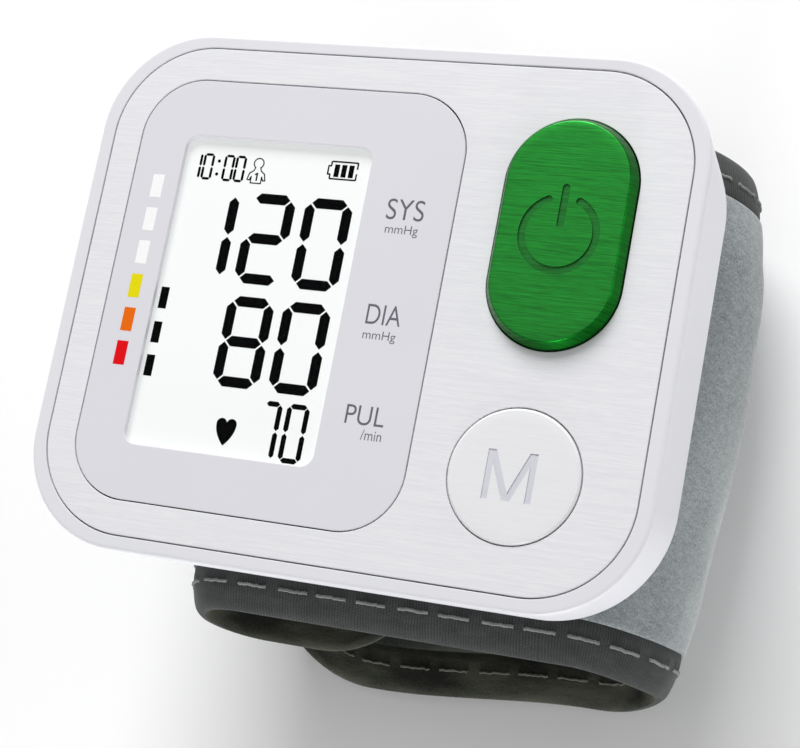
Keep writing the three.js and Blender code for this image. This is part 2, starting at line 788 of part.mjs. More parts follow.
// The least gap between one turn of the spring and the next, wire to wire
function springGap() {
  const helix = new ConeHelix();
  const points = helix.getPoints(springTurns * gapTurnSteps);
  let least = Infinity;
  points.forEach((a, i) => {
    points.slice(i + gapTurnSteps / 2).forEach((b) => {
      least = Math.min(least, a.distanceTo(b));
    });
  });
  return least - springWire;
}

// Air system

function pumpMotor() {
  const endY = pumpStartY + motorLength;
  const can = bar(pumpDiameter, pumpStartY, endY, pumpX, pumpDepth);
  const low = pumpDepth + pumpDiameter;
  const high = pumpDepth - pumpDiameter;
  const flats = block(pumpFlat, motorLength + cutOver, low, high, pumpX, (pumpStartY + endY) / 2);
  const tail = smallBar(pumpTail, pumpStartY - touchGap, pumpStartY + cutOver, pumpX, pumpDepth);
  return join(can.intersect(flats), tail);
}

function pumpHead() {
  const startY = pumpStartY + motorLength + seatGap;
  const endY = startY + headLength;
  const body = bar(pumpDiameter, startY, endY, pumpX, pumpDepth, headSides);
  return join(body, smallBar(nozzleDiameter, endY - nozzleLength, endY + nozzleLength, pumpX, pumpDepth));
}

function releaseValve() {
  const low = backInside - seatGap;
  const nearY = valveY - valveLength / 2;
  const body = block(valveWidth, valveLength, low, low - valveHeight, valveX, valveY);
  return join(body, smallBar(nozzleDiameter, nearY - nozzleLength, nearY + nozzleLength, pumpX, pumpDepth));
}

function pressureSensor() {
  const high = boardUnderside + touchGap;
  const low = high + sensorHeight;
  const body = block(sensorWidth, sensorWidth, low, high, sensorPlace.x, sensorPlace.y);
  return join(body, smallDisc(nozzleDiameter, low + nozzleLength, low - touchGap, sensorPlace));
}

function buzzer() {
  const high = boardUnderside + touchGap;
  const low = high + buzzerHeight;
  const body = disc(buzzerDiameter, low, high, buzzerPlace.x, buzzerPlace.y);
  return body.subtract(smallDisc(nozzleDiameter, low + cutOver, high + buzzerHeight / 2, buzzerPlace));
}

// The hub sits on the cuff's nipple, and its tubes run to the pump, the valve and the sensor
function airManifold() {
  const pumpEnd = pumpEndY + seatGap;
  const valveEnd = valveY - valveLength / 2 - seatGap;
  const crossY = (pumpEnd + valveEnd) / 2;
  const hubLow = backInside - seatGap;
  const tubeDepth = hubLow - hubHeight / 2;
  const sensorLow = boardUnderside + touchGap + sensorHeight + seatGap;
  const nipple = nipplePlace;
  const sensor = sensorPlace;
  const half = (pumpX - nipple.x) / 2;
  const toPump = tube([
    at(nipple.x, nipple.y, tubeDepth),
    at(nipple.x + half / 2, crossY / 4, tubeDepth),
    at(nipple.x + half, crossY / 2, (tubeDepth + pumpDepth) / 2),
    at(pumpX - half / 2, crossY, pumpDepth),
    at(pumpX, crossY, pumpDepth),
  ]);
  const toSensor = tube([
    at(nipple.x, nipple.y, tubeDepth),
    at((nipple.x + sensor.x) / 2, sensor.y / 2, tubeDepth),
    at(sensor.x, sensor.y - tubeOuter / 2, tubeDepth),
    at(sensor.x, sensor.y, (tubeDepth + sensorLow) / 2),
    at(sensor.x, sensor.y, sensorLow),
  ]);
  const cross = smallBar(tubeOuter, pumpEnd, valveEnd, pumpX, pumpDepth);
  const hub = smallDisc(hubDiameter, hubLow, hubLow - hubHeight, nipple);
  return cut(
    join(toPump, toSensor, cross, hub),
    smallBar(tubeBore + seatGap, pumpEnd - cutOver, pumpEnd + nozzleLength, pumpX, pumpDepth),
    smallBar(tubeBore + seatGap, valveEnd - nozzleLength, valveEnd + cutOver, pumpX, pumpDepth),
    smallDisc(tubeBore + seatGap, sensorLow + nozzleLength, sensorLow - cutOver, sensor),
    smallDisc(hubBore, hubLow + cutOver, nippleDepth - seatGap, nipple),
  );
}

// Cuff
// The strip's outer face follows a path in the XZ plane: from the tongue's end, round the left bend,
// over the top under the case, round the right bend, and back under everything to the flap's end.

const quarter = Math.PI / 2;
const tongueRun = tongueEndX - leftX;
const topRun = rightX - leftX;
const strapRun = rightX - flapRampX;
const flapRun = flapRampX - flapEndX;
const bendSplit = tongueRun + 2 * quarter * leftRadius + topRun + quarter * rightRadius;
const leftStart = tongueRun;
const leftEnd = leftStart + 2 * quarter * leftRadius;
const rightStart = leftEnd + topRun;
const rightEnd = bendSplit + quarter * rightRadius;
const rampStart = rightEnd + strapRun;
const stripLength = rampStart + flapRun;

function smooth(share) {
  const held = Math.min(1, Math.max(0, share));
  return held * held * (3 - 2 * held);
}

function pathPoint(s) {
  const arc = (centreX, centreDepth, radius, angle) => ({
    x: centreX + radius * Math.cos(angle),
    z: -centreDepth + radius * Math.sin(angle),
  });
  if (s < leftStart) return { x: tongueEndX - s, z: -(cuffDepth + 2 * leftRadius) };
  if (s < leftEnd) {
    return arc(leftX, cuffDepth + leftRadius, leftRadius, -quarter - (s - leftStart) / leftRadius);
  }
  if (s < rightStart) return { x: leftX + s - leftEnd, z: -cuffDepth };
  if (s < rightEnd) {
    return arc(rightX, cuffDepth + rightRadius, rightRadius, quarter - (s - rightStart) / rightRadius);
  }
  const x = rightX - (s - rightEnd);
  return { x, z: -stripDepth + flapRise * smooth((flapRampX - x) / flapRun) };
}

// Thickness and sideways shift of the strip at its stations, smooth between them
const stations = [
  { s: 0, thickness: tongueThickness, shift: tongueShift },
  { s: leftStart, thickness: leftThickness, shift: tongueShift },
  { s: leftEnd, thickness: topThickness, shift: topShift },
  { s: rightStart, thickness: topThickness, shift: topShift },
  { s: bendSplit, thickness: bendThickness, shift: bendShift },
  { s: rightEnd, thickness: strapThickness, shift: strapShift },
  { s: rampStart, thickness: strapThickness, shift: flapShift },
  { s: stripLength, thickness: flapThickness, shift: flapShift },
];

function stationAt(s, key) {
  let i = 0;
  while (i + 2 < stations.length && s > stations[i + 1].s) i += 1;
  const a = stations[i];
  const b = stations[i + 1];
  return a[key] + (b[key] - a[key]) * smooth((s - a.s) / (b.s - a.s));
}

// A place on the strip: s along it, v across it, n out of its outer face
function stripPoint(s, v, n) {
  const here = pathPoint(s);
  const slopeStep = seatGap / 2;
  const before = pathPoint(s - slopeStep);
  const after = pathPoint(s + slopeStep);
  const length = Math.hypot(after.x - before.x, after.z - before.z);
  const normalX = -(after.z - before.z) / length;
  const normalZ = (after.x - before.x) / length;
  return [here.x + normalX * n, v + stationAt(s, 'shift'), here.z + normalZ * n];
}

// Levels of the padded middle and of the sewn tape, below the outer face
function padOuter(v) {
  return -crownDrop * (v / padHalfWidth) ** 2;
}

function padInner(s, v) {
  return -stationAt(s, 'thickness') + skinCrown * (v / padHalfWidth) ** 2;
}

function tapeOuter(s, edge) {
  const high = crownDrop + tapeDrop;
  const tip = Math.max(high, stationAt(s, 'thickness') * tapeTipShare);
  return -(high + (tip - high) * (1 - edge / tapeWidth) ** 2);
}

function tapeInner(s, edge) {
  const thickness = stationAt(s, 'thickness');
  const tip = Math.min(thickness, Math.max(crownDrop + tapeDrop, thickness * tapeTipShare) + tapeTip);
  const low = thickness - skinCrown;
  return -(low + (tip - low) * (1 - edge / tapeWidth) ** 2);
}

const padHalfWidth = stripHalfWidth - tapeWidth - seatGap;

// The two padded parts meet in the middle of the right bend, where the cuff opens
const sleeve = { free: 0, split: bendSplit - seatGap / 2, corner: tongueCorner };
const strap = { free: stripLength, split: bendSplit + seatGap / 2, corner: flapCorner };

// Stations along one part, from its free end to the split, closer together on the bends
function partStations(part, start) {
  const from = Math.min(start, part.split);
  const to = Math.max(start, part.split);
  const marks = [leftStart, leftEnd, rightStart, bendSplit, rightEnd, rampStart];
  const ends = [from, ...marks.filter((s) => s > from && s < to), to];
  const list = [from];
  for (let i = 0; i + 1 < ends.length; i += 1) {
    const middle = pathPoint((ends[i] + ends[i + 1]) / 2);
    const a = pathPoint(ends[i]);
    const b = pathPoint(ends[i + 1]);
    const bow = Math.hypot(middle.x - (a.x + b.x) / 2, middle.z - (a.z + b.z) / 2);
    const steps = bow > topThickness ? 2 * bendSteps : bow > seatGap ? bendSteps : flatSteps;
    for (let k = 1; k <= steps; k += 1) list.push(ends[i] + ((ends[i + 1] - ends[i]) * k) / steps);
  }
  return start < part.split ? list : list.reverse();
}

// Half the width of the padded middle at s, drawn in where the free end is rounded
function halfWidthAt(part, s) {
  const corner = part.corner - tapeWidth - seatGap;
  const left = Math.abs(s - part.free) - tapeWidth - seatGap;
  const into = Math.max(0, corner - left);
  return padHalfWidth - corner + Math.sqrt(Math.max(0, corner ** 2 - Math.min(corner, into) ** 2));
}

// A closed body between an outer and an inner face, on a grid of rows along the strip
function gridBody(rows) {
  const across = rows[0].length;
  const positions = rows.flatMap((row) => row.flatMap(({ outer }) => outer));
  positions.push(...rows.flatMap((row) => row.flatMap(({ inner }) => inner)));
  const half = rows.length * across;
  const index = [];
  const quad = (a, b, c, d) => index.push(a, b, c, a, c, d);
  for (let i = 0; i + 1 < rows.length; i += 1) {
    for (let j = 0; j + 1 < across; j += 1) {
      const a = i * across + j;
      quad(a, a + across, a + across + 1, a + 1);
      quad(half + a, half + a + 1, half + a + across + 1, half + a + across);
    }
    const near = i * across;
    const far = near + across - 1;
    quad(near, half + near, half + near + across, near + across);
    quad(far, far + across, half + far + across, half + far);
  }
  const last = (rows.length - 1) * across;
  for (let j = 0; j + 1 < across; j += 1) {
    quad(j, j + 1, half + j + 1, half + j);
    quad(last + j, half + last + j, half + last + j + 1, last + j + 1);
  }
  const solid = toSolid(indexedGeometry(positions, index));
  return solid.volume() < 0 ? toSolid(indexedGeometry(positions, index.reverse())) : solid;
}

function padBody(part) {
  const inwards = Math.sign(part.split - part.free);
  const start = part.free + inwards * (tapeWidth + seatGap);
  const corner = part.corner - tapeWidth - seatGap;
  const roundRows = roundRowShares.map((share) => start + inwards * share * corner);
  const firstPlain = start + inwards * corner;
  const sList = [...roundRows, ...partStations(part, firstPlain)];
  const rows = sList.map((s) => columnShares.map((share) => {
    const v = share * halfWidthAt(part, s);
    return { outer: stripPoint(s, v, padOuter(v)), inner: stripPoint(s, v, padInner(s, v)) };
  }));
  return gridBody(rows);
}

// The tape's edge line in the strip's own plane, from the split round the free end and back
function tapeLine(part) {
  const inwards = Math.sign(part.split - part.free);
  const plain = partStations(part, part.free + inwards * part.corner);
  const line = [];
  const corner = (side, from, to) => {
    for (let k = 1; k < cornerSteps; k += 1) {
      const angle = from + ((to - from) * k) / cornerSteps;
      const s = part.free + inwards * part.corner * (1 - Math.cos(angle));
      const v = side * (stripHalfWidth - part.corner + part.corner * Math.sin(angle));
      line.push({ s, v, outS: -inwards * Math.cos(angle), outV: side * Math.sin(angle) });
    }
  };
  const end = stripHalfWidth - part.corner;
  [...plain].reverse().forEach((s) => line.push({ s, v: -stripHalfWidth, outS: 0, outV: -1 }));
  corner(-1, quarter, 0);
  line.push({ s: part.free, v: -end, outS: -inwards, outV: 0 });
  line.push({ s: part.free, v: end, outS: -inwards, outV: 0 });
  corner(1, 0, quarter);
  plain.forEach((s) => line.push({ s, v: stripHalfWidth, outS: 0, outV: 1 }));
  return line;
}

function tapeBody(part) {
  const rows = tapeLine(part).map(({ s, v, outS, outV }) => tapeShares.map((share) => {
    const edge = share * tapeWidth;
    const inS = s - outS * edge;
    const inV = v - outV * edge;
    return {
      outer: stripPoint(inS, inV, tapeOuter(inS, edge)),
      inner: stripPoint(inS, inV, tapeInner(inS, edge)),
    };
  }));
  return gridBody(rows);
}

function cuffSleeve() {
  const top = cuffDepth + pocketTopCover;
  const holeLow = top + pocketDepth / 2;
  const holeHigh = cuffDepth - cutOver;
  return cut(
    padBody(sleeve),
    prism(pocketOutline(0), top + pocketDepth, top),
    smallDisc(nippleDiameter + 2 * seatGap, holeLow, holeHigh, nipplePlace),
    ...postPlaces.map((place) => smallDisc(postDiameter + 2 * seatGap, holeLow, holeHigh, place)),
  );
}

function pocketOutline(gap) {
  const width = pocketWidth - 2 * gap;
  return roundedOutline(width, pocketLength - 2 * gap, pocketCorner - gap, pocketX, topShift);
}

function cuffStrap() {
  const under = block(caseWidth * 2, caseHeight * 2, stripDepth + cutOver, stripDepth - floorFlat);
  return padBody(strap).subtract(under);
}

function hookPatch() {
  const sFrom = rightEnd + (rightX - hookStartX);
  const sTo = rightEnd + (rightX - hookEndX);
  const rows = [];
  for (let k = 0; k <= flatSteps; k += 1) {
    const s = sFrom + ((sTo - sFrom) * k) / flatSteps;
    rows.push(columnShares.map((share) => {
      const v = share * hookHalf;
      const low = padInner(s, v) - touchGap;
      return { outer: stripPoint(s, v, low), inner: stripPoint(s, v, low - hookThickness) };
    }));
  }
  return gridBody(rows);
}

// Inside the cuff's pocket

function cuffStiffener() {
  const high = cuffDepth + pocketTopCover + seatGap;
  const low = high + stiffenerThickness;
  const postTop = backInside + seatGap;
  const posts = postPlaces.map((place) => (
    smallDisc(postDiameter, high + stiffenerThickness / 2, postTop, place)
  ));
  const bores = postPlaces.map((place) => (
    smallDisc(cuffScrewShank + 2 * seatGap, low + cutOver, postTop - cutOver, place)
  ));
  return cut(
    join(prism(pocketOutline(seatGap), low, high), ...posts),
    smallDisc(nippleDiameter + 2 * seatGap, low + cutOver, high - cutOver, nipplePlace),
    ...bores,
  );
}

function bladder() {
  const high = cuffDepth + pocketTopCover + 2 * seatGap + stiffenerThickness;
  const bag = prism(pocketOutline(2 * seatGap), high + bladderThickness, high);
  return join(bag, smallDisc(nippleDiameter, high + bladderThickness / 2, nippleDepth, nipplePlace));
}

// Assembly

const monitor = new THREE.Group();

function add(name, solidOrGeometry, finish, parent = monitor) {
  const geometry = solidOrGeometry.isBufferGeometry ? solidOrGeometry : toGeometry(solidOrGeometry);
  const mesh = new THREE.Mesh(geometry, new THREE.MeshStandardMaterial(finish));
  mesh.name = name;
  parent.add(mesh);
  return mesh;
}

function addScrews(name, places, depth, makeGeometry) {
  places.forEach(({ x, y }, i) => {
    add(`${name}_${i + 1}`, makeGeometry(), finishes.steel).position.set(x, y, -depth);
  });
}

add('front_housing', frontHousing(), finishes.whitePlastic);
add('rear_housing', rearHousing(), finishes.whitePlastic);
add('battery_cover', batteryCover(), finishes.whitePlastic);
add('front_plate', frontPlate(), finishes.brushedPlate);
add('display_window', displayWindow(), finishes.greyPanel);
add('window_pane', windowPane(), finishes.clearPane);
add('lcd_panel', lcdPanel(), finishes.lcdGlass);
add('lcd_frame', lcdFrame(), finishes.blackPlastic);
add('zebra_strip_1', zebraStrip(1), finishes.silicone);
add('zebra_strip_2', zebraStrip(-1), finishes.silicone);
add('circuit_board', circuitBoard(), finishes.boardGreen);
add('power_button', powerButton(), finishes.greenButton);
add('memory_button', memoryButton(), finishes.paleButton);
add('power_switch', tactSwitch(powerX, powerY), finishes.blackPlastic);
add('memory_switch', tactSwitch(memoryX, memoryY), finishes.blackPlastic);
add('power_switch_plunger', switchPlunger(powerX, powerY), finishes.steel);
add('memory_switch_plunger', switchPlunger(memoryX, memoryY), finishes.steel);
cells.forEach((place) => {
  add(`battery_${place.name}`, cell(place), finishes.cellJacket);
  add(`battery_spring_${place.name}`, batterySpring(place), finishes.steel);
});
add('contact_plate_1', contactPlate(-1), finishes.steel);
add('contact_plate_2', contactPlate(1), finishes.steel);
add('pump_motor', pumpMotor(), finishes.steel);
add('pump_head', pumpHead(), finishes.blackPlastic);
add('release_valve', releaseValve(), finishes.blackPlastic);
add('pressure_sensor', pressureSensor(), finishes.blackPlastic);
add('buzzer', buzzer(), finishes.blackPlastic);
add('air_manifold', airManifold(), finishes.silicone);
addScrews('case_screw', caseScrewPlaces, caseDepth - caseScrewSink - caseScrewHeadHeight, () => (
  screw(caseScrewHead, caseScrewHeadHeight, caseScrewShank, caseScrewLength, true)
));
addScrews('board_screw', boardScrewPlaces, boardUnderside + touchGap, () => (
  screw(boardScrewHead, boardScrewHeadHeight, boardScrewShank, boardUnderside - deckUnderside, true)
));
addScrews('cuff_screw', postPlaces, backInside - touchGap, () => (
  screw(cuffScrewHead, cuffScrewHeadHeight, cuffScrewShank, cuffScrewLength, false)
));
add('cuff_sleeve', cuffSleeve(), finishes.velvet);
add('cuff_binding', tapeBody(sleeve), finishes.tape);
add('cuff_strap', cuffStrap(), finishes.velvet);
add('strap_binding', tapeBody(strap), finishes.tape);
add('hook_patch', hookPatch(), finishes.blackPlastic);
add('cuff_stiffener', cuffStiffener(), finishes.blackPlastic);
add('bladder', bladder(), finishes.silicone);

console.log(`least gap between the battery spring's turns: ${springGap().toFixed(2)} mm`);

// The whole stands on its cuff, with the origin under the middle of its box
const box = new THREE.Box3().setFromObject(monitor);
const middle = box.getCenter(new THREE.Vector3());
monitor.position.set(-middle.x, -middle.y, -box.min.z);
const sizes = box.getSize(new THREE.Vector3()).toArray().map((v) => v.toFixed(2));
const origin = monitor.position.toArray().map((v) => v.toFixed(3));
console.log(`size ${sizes}, face origin at ${origin}`);

const group = new THREE.Group();
group.add(monitor);

export default group;
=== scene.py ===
"""Looks of a wrist blood pressure monitor: a flat case with a display and two buttons on a padded wrist cuff.

Sizes are millimetres in the face's own frame: x across the face, y up it, z out of it, with z = 0 on the
face. FaceFrame turns them into metres in the part's frame, in which every piece is made where it belongs.
"""

import json
import logging
import math
from collections.abc import Callable, Iterable, Sequence
from dataclasses import dataclass, field
from enum import Enum
from typing import Any, Protocol

import bmesh
import bpy
import numpy as np
from mathutils import Matrix, Vector, noise
from mathutils.bvhtree import BVHTree

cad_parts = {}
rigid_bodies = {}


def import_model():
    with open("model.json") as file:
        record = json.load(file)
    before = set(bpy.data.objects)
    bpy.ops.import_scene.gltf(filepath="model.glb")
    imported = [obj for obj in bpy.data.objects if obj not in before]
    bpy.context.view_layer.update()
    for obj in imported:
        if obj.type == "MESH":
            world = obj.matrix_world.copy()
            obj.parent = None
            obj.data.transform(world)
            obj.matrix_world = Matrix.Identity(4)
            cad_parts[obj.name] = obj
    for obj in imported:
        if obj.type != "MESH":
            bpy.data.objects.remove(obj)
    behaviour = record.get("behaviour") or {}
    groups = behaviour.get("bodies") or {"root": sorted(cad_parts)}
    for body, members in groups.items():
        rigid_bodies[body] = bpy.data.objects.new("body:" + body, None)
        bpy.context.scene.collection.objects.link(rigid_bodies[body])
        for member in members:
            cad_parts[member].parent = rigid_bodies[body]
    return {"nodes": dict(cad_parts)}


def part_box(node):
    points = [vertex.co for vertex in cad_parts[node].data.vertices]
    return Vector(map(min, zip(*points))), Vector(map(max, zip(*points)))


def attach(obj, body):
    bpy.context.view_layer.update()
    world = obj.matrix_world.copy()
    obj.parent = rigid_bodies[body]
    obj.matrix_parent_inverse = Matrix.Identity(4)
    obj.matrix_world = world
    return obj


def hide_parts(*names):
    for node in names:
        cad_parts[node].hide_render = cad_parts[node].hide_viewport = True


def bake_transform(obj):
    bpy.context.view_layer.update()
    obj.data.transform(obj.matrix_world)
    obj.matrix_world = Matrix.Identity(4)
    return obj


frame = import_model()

log = logging.getLogger("monitor")

MM = 0.001
QUARTER = math.pi / 2
WHITE = (1, 1, 1, 1)
CAMERA = (94.7, -54.6, 226.0)  # the photograph's viewpoint, in the face's frame
SUPPORT = 0.15  # how far inside a rounded edge a ring lies that keeps the face flat
SAME_PLACE = 1e-8  # metres within which two points are one
NOISE_RANGE = (0.3, 0.7)  # where nearly all values of a noise texture lie
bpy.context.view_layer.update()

Point = tuple[float, float]
EdgePlace = tuple[float, float, float, float]
Tone = tuple[int, int, int]
Outline = np.ndarray
OutlineAt = Callable[[float], Outline]
Socket = bpy.types.NodeSocket
Object = bpy.types.Object
Mesh = bpy.types.Mesh
Material = bpy.types.Material
BMesh = bmesh.types.BMesh
BMVert = bmesh.types.BMVert
Ring = list[BMVert]


class Body(str, Enum):
    """The moving bodies that pieces ride on."""

    CASE = "case"
    POWER = "power_button"
    MEMORY = "memory_button"
    COVER = "battery_cover"
    STRAP = "cuff_strap"


class Slot(str, Enum):
    """The record's material slots, named when new pieces are seated."""

    WHITE = "white_plastic"
    PLATE = "brushed_plate"
    PANEL = "panel_grey"
    LCD = "lcd_glass"
    GREEN = "green_button"
    PALE = "pale_button"
    VELVET = "velvet"
    TAPE = "tape"
    HOOKS = "hook_tape"


@dataclass(frozen=True)
class FaceFrame:
    """Where the middle of the face lies in the part's frame, in metres."""

    origin: tuple[float, float, float]

    @classmethod
    def measured(cls) -> "FaceFrame":
        """Reads the place of the face from the front housing's box."""
        low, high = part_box("front_housing")
        return cls(((low.x + high.x) / 2, (low.y + high.y) / 2, high.z))

    def world(self, points: Any) -> np.ndarray:
        """Turns points in millimetres in the face's frame into metres in the part's frame."""
        return np.asarray(points, float) * MM + np.asarray(self.origin)


FACE = FaceFrame.measured()


# Finishes


class Nodes:
    """A node tree, with short ways to add to it."""

    def __init__(self, tree: bpy.types.NodeTree) -> None:
        """Starts on a tree."""
        self.tree = tree

    def put(self, socket: Socket, value: Any) -> None:
        """Links a socket, or sets a value, on an input."""
        if isinstance(value, Socket):
            self.tree.links.new(value, socket)
        else:
            socket.default_value = value

    def add(self, kind: str, inputs: dict[str | int, Any] | None = None, **settings: Any) -> bpy.types.Node:
        """Adds a node.

        Args:
            kind: The node's type.
            inputs: Values or sockets by input name or number.
            settings: Properties of the node itself.

        Returns:
            The new node.
        """
        node = self.tree.nodes.new(kind)
        for key, value in settings.items():
            setattr(node, key, value)
        for key, value in (inputs or {}).items():
            self.put(node.inputs[key], value)
        return node

    def math(self, operation: str, first: Any, second: Any = 0.0) -> Socket:
        """One step of arithmetic."""
        return self.add("ShaderNodeMath", {0: first, 1: second}, operation=operation).outputs[0]


class Sheet(Nodes):
    """One material's node tree, with the steps that the finishes share."""

    def __init__(self, name: str) -> None:
        """Starts a material of that name on a plain Principled shader."""
        self.material = bpy.data.materials.new(name)
        self.material.use_nodes = True
        super().__init__(self.material.node_tree)
        self.shader = self.tree.nodes["Principled BSDF"]

    def objects(self) -> Socket:
        """Object coordinates, in metres."""
        return self.add("ShaderNodeTexCoord").outputs["Object"]

    def cloth(self) -> Socket:
        """The piece's own UV map: metres along and across it."""
        return self.add("ShaderNodeTexCoord").outputs["UV"]

    def stretched(self, vector: Socket, scale: tuple[float, float, float], turn: float = 0.0) -> Socket:
        """Scales a coordinate, after a turn about Z in degrees."""
        inputs = {"Vector": vector, "Scale": scale, "Rotation": (0, 0, math.radians(turn))}
        return self.add("ShaderNodeMapping", inputs).outputs["Vector"]

    def noise(self, vector: Socket, scale: float = 1.0, detail: float = 3.0, rough: float = 0.5) -> Socket:
        """Cloudy grey noise."""
        inputs = {"Vector": vector, "Scale": scale, "Detail": detail, "Roughness": rough}
        return self.add("ShaderNodeTexNoise", inputs).outputs["Fac"]

    def spread(
        self, value: Socket, low: float, high: float, to_low: float = 0.0, to_high: float = 1.0
    ) -> Socket:
        """Maps a range of a value to another range, held at its ends."""
        inputs = {"Value": value, "From Min": low, "From Max": high, "To Min": to_low, "To Max": to_high}
        return self.add("ShaderNodeMapRange", inputs).outputs["Result"]

    def around(self, grain: Socket, middle: float, swing: float) -> Socket:
        """A value that noise moves to both sides of its middle."""
        return self.spread(grain, *NOISE_RANGE, middle - swing, middle + swing)

    def sum(self, *parts: tuple[Socket, float]) -> Socket:
        """Adds up values, each with its weight."""
        total = self.math("MULTIPLY", *parts[0])
        for part in parts[1:]:
            total = self.math("ADD", total, self.math("MULTIPLY", *part))
        return total

    def mix(self, share: Any, first: Any, second: Any) -> Socket:
        """Mixes two colours."""
        return self.add("ShaderNodeMix", {0: share, 6: first, 7: second}, data_type="RGBA").outputs[2]

    def two_tone(self, value: Socket, low: float, high: float, first: Tone, second: Tone) -> Socket:
        """Goes from one colour to another over a range of a value."""
        return self.mix(self.spread(value, low, high), colour(*first), colour(*second))

    def shaded(self, base: Any, value: Socket) -> Socket:
        """A colour made lighter or darker by a value."""
        return self.add("ShaderNodeHueSaturation", {"Value": value, "Color": base}).outputs["Color"]

    def bump(self, height: Socket, distance: float, under: Socket | None = None) -> Socket:
        """A bump of that depth in millimetres, on top of another one."""
        inputs: dict[str | int, Any] = {"Height": height, "Distance": distance * MM, "Strength": 1.0}
        if under is not None:
            inputs["Normal"] = under
        return self.add("ShaderNodeBump", inputs).outputs["Normal"]

    def dress(self, **inputs: Any) -> Material:
        """Sets the shader's inputs, with spaces in their names written as underscores."""
        for key, value in inputs.items():
            self.put(self.shader.inputs[key.replace("_", " ")], value)
        return self.material


def colour(red: int, green: int, blue: int) -> tuple[float, float, float, float]:
    """A colour of the screen, 0 to 255, as the linear colour that shaders take."""
    def linear(value: int) -> float:
        """Undoes the screen's curve for one channel."""
        share = value / 255
        return share / 12.92 if share <= 0.04045 else ((share + 0.055) / 1.055) ** 2.4
    return (linear(red), linear(green), linear(blue), 1.0)


class Finish(Protocol):
    """What every finish has: the name of its material, and a way to build it."""

    @property
    def name(self) -> str:
        """The material's name."""

    def make(self) -> Material:
        """Builds the material."""


@dataclass(frozen=True)
class MouldedPlastic:
    """Injection-moulded plastic: an even colour with a faint cloud and a fine grain."""

    name: str
    tone: Tone
    roughness: float = 0.4
    grain: float = 0.01
    cloud: float = 0.03
    # painted_glow makes a part glow though it is no lamp: painted light
    painted_glow: float = 0.0
    painted_glow_colour: tuple[float, float, float, float] = (0.985, 1.0, 0.995, 1.0)

    def make(self) -> Material:
        """Builds the material."""
        sheet = Sheet(self.name)
        here = sheet.objects()
        cloud = sheet.noise(here, scale=45, detail=2)
        tint = sheet.shaded(colour(*self.tone), sheet.around(cloud, 1, self.cloud))
        grain = sheet.noise(here, scale=5200, detail=2)
        rough = sheet.around(grain, self.roughness, 0.04)
        return sheet.dress(
            Base_Color=tint, Roughness=rough, Normal=sheet.bump(grain, self.grain),
            Emission_Color=self.painted_glow_colour, Emission_Strength=self.painted_glow
        )


@dataclass(frozen=True)
class BrushedFilm:
    """A metal-effect film with fine strokes across the face."""

    name: str
    tone: Tone
    stroke: Tone
    roughness: float = 0.36
    metallic: float = 0.2
    depth: float = 0.006
    turn: float = 1.0
    gloss: float = 0.4
    coat: float = 0.0
    fine: float = 1.0
    stroke_range: Point = (0.4, 0.62)

    def make(self) -> Material:
        """Builds the material: long strokes, short bright strokes, and a roughness that follows them."""
        sheet = Sheet(self.name)
        here = sheet.objects()
        long_stretch, short_stretch = (130, 4200 * self.fine, 130), (420, 7400 * self.fine, 420)
        long_strokes = sheet.noise(sheet.stretched(here, long_stretch, self.turn), detail=3, rough=0.6)
        short_strokes = sheet.noise(sheet.stretched(here, short_stretch, -self.turn), detail=2, rough=0.6)
        both = sheet.sum((long_strokes, 0.55), (short_strokes, 0.45))
        tint = sheet.two_tone(both, *self.stroke_range, self.tone, self.stroke)
        tint = sheet.shaded(tint, sheet.around(sheet.noise(here, scale=30, detail=2), 1, 0.02))
        rough = sheet.spread(both, *self.stroke_range, self.roughness + 0.07, self.roughness - 0.07)
        return sheet.dress(
            Base_Color=tint, Metallic=self.metallic, Roughness=rough, Normal=sheet.bump(both, self.depth),
            Specular_IOR_Level=self.gloss, Coat_Weight=self.coat, Coat_Roughness=0.12
        )


@dataclass(frozen=True)
class Ink:
    """A printed or liquid-crystal mark: a flat tone with a trace of grain."""

    name: str
    tone: Tone
    roughness: float = 0.5
    gloss: float = 0.12

    def make(self) -> Material:
        """Builds the material."""
        sheet = Sheet(self.name)
        grain = sheet.noise(sheet.objects(), scale=3000, detail=2)
        tint = sheet.shaded(colour(*self.tone), sheet.around(grain, 1, 0.03))
        rough = sheet.around(grain, self.roughness, 0.05)
        return sheet.dress(Base_Color=tint, Roughness=rough, Specular_IOR_Level=self.gloss)


@dataclass(frozen=True)
class Velvet:
    """Brushed loop cloth: pile in two tones, stroked across the strip, with a soft sheen."""

    name: str
    dark: Tone
    pale: Tone
    pile: float = 0.12
    sheen: float = 0.6
    slant: float = 25.0

    def make(self) -> Material:
        """Builds the material on the cloth's own map: long strokes, tufts and a slow change of tone."""
        sheet = Sheet(self.name)
        here = sheet.cloth()
        strokes = sheet.noise(sheet.stretched(here, (700, 1300, 1), self.slant), detail=5, rough=0.72)
        tufts = sheet.noise(here, scale=3400, detail=3, rough=0.75)
        patches = sheet.noise(sheet.stretched(here, (60, 42, 1), self.slant), detail=2)
        pile = sheet.sum((strokes, 0.3), (tufts, 0.45), (patches, 0.25))
        tint = sheet.two_tone(pile, 0.38, 0.62, self.dark, self.pale)
        raised = sheet.bump(tufts, self.pile * 0.5, under=sheet.bump(strokes, self.pile))
        return sheet.dress(
            Base_Color=tint, Roughness=0.95, Normal=raised, Sheen_Weight=self.sheen, Sheen_Roughness=0.4,
            Specular_IOR_Level=0.1
        )


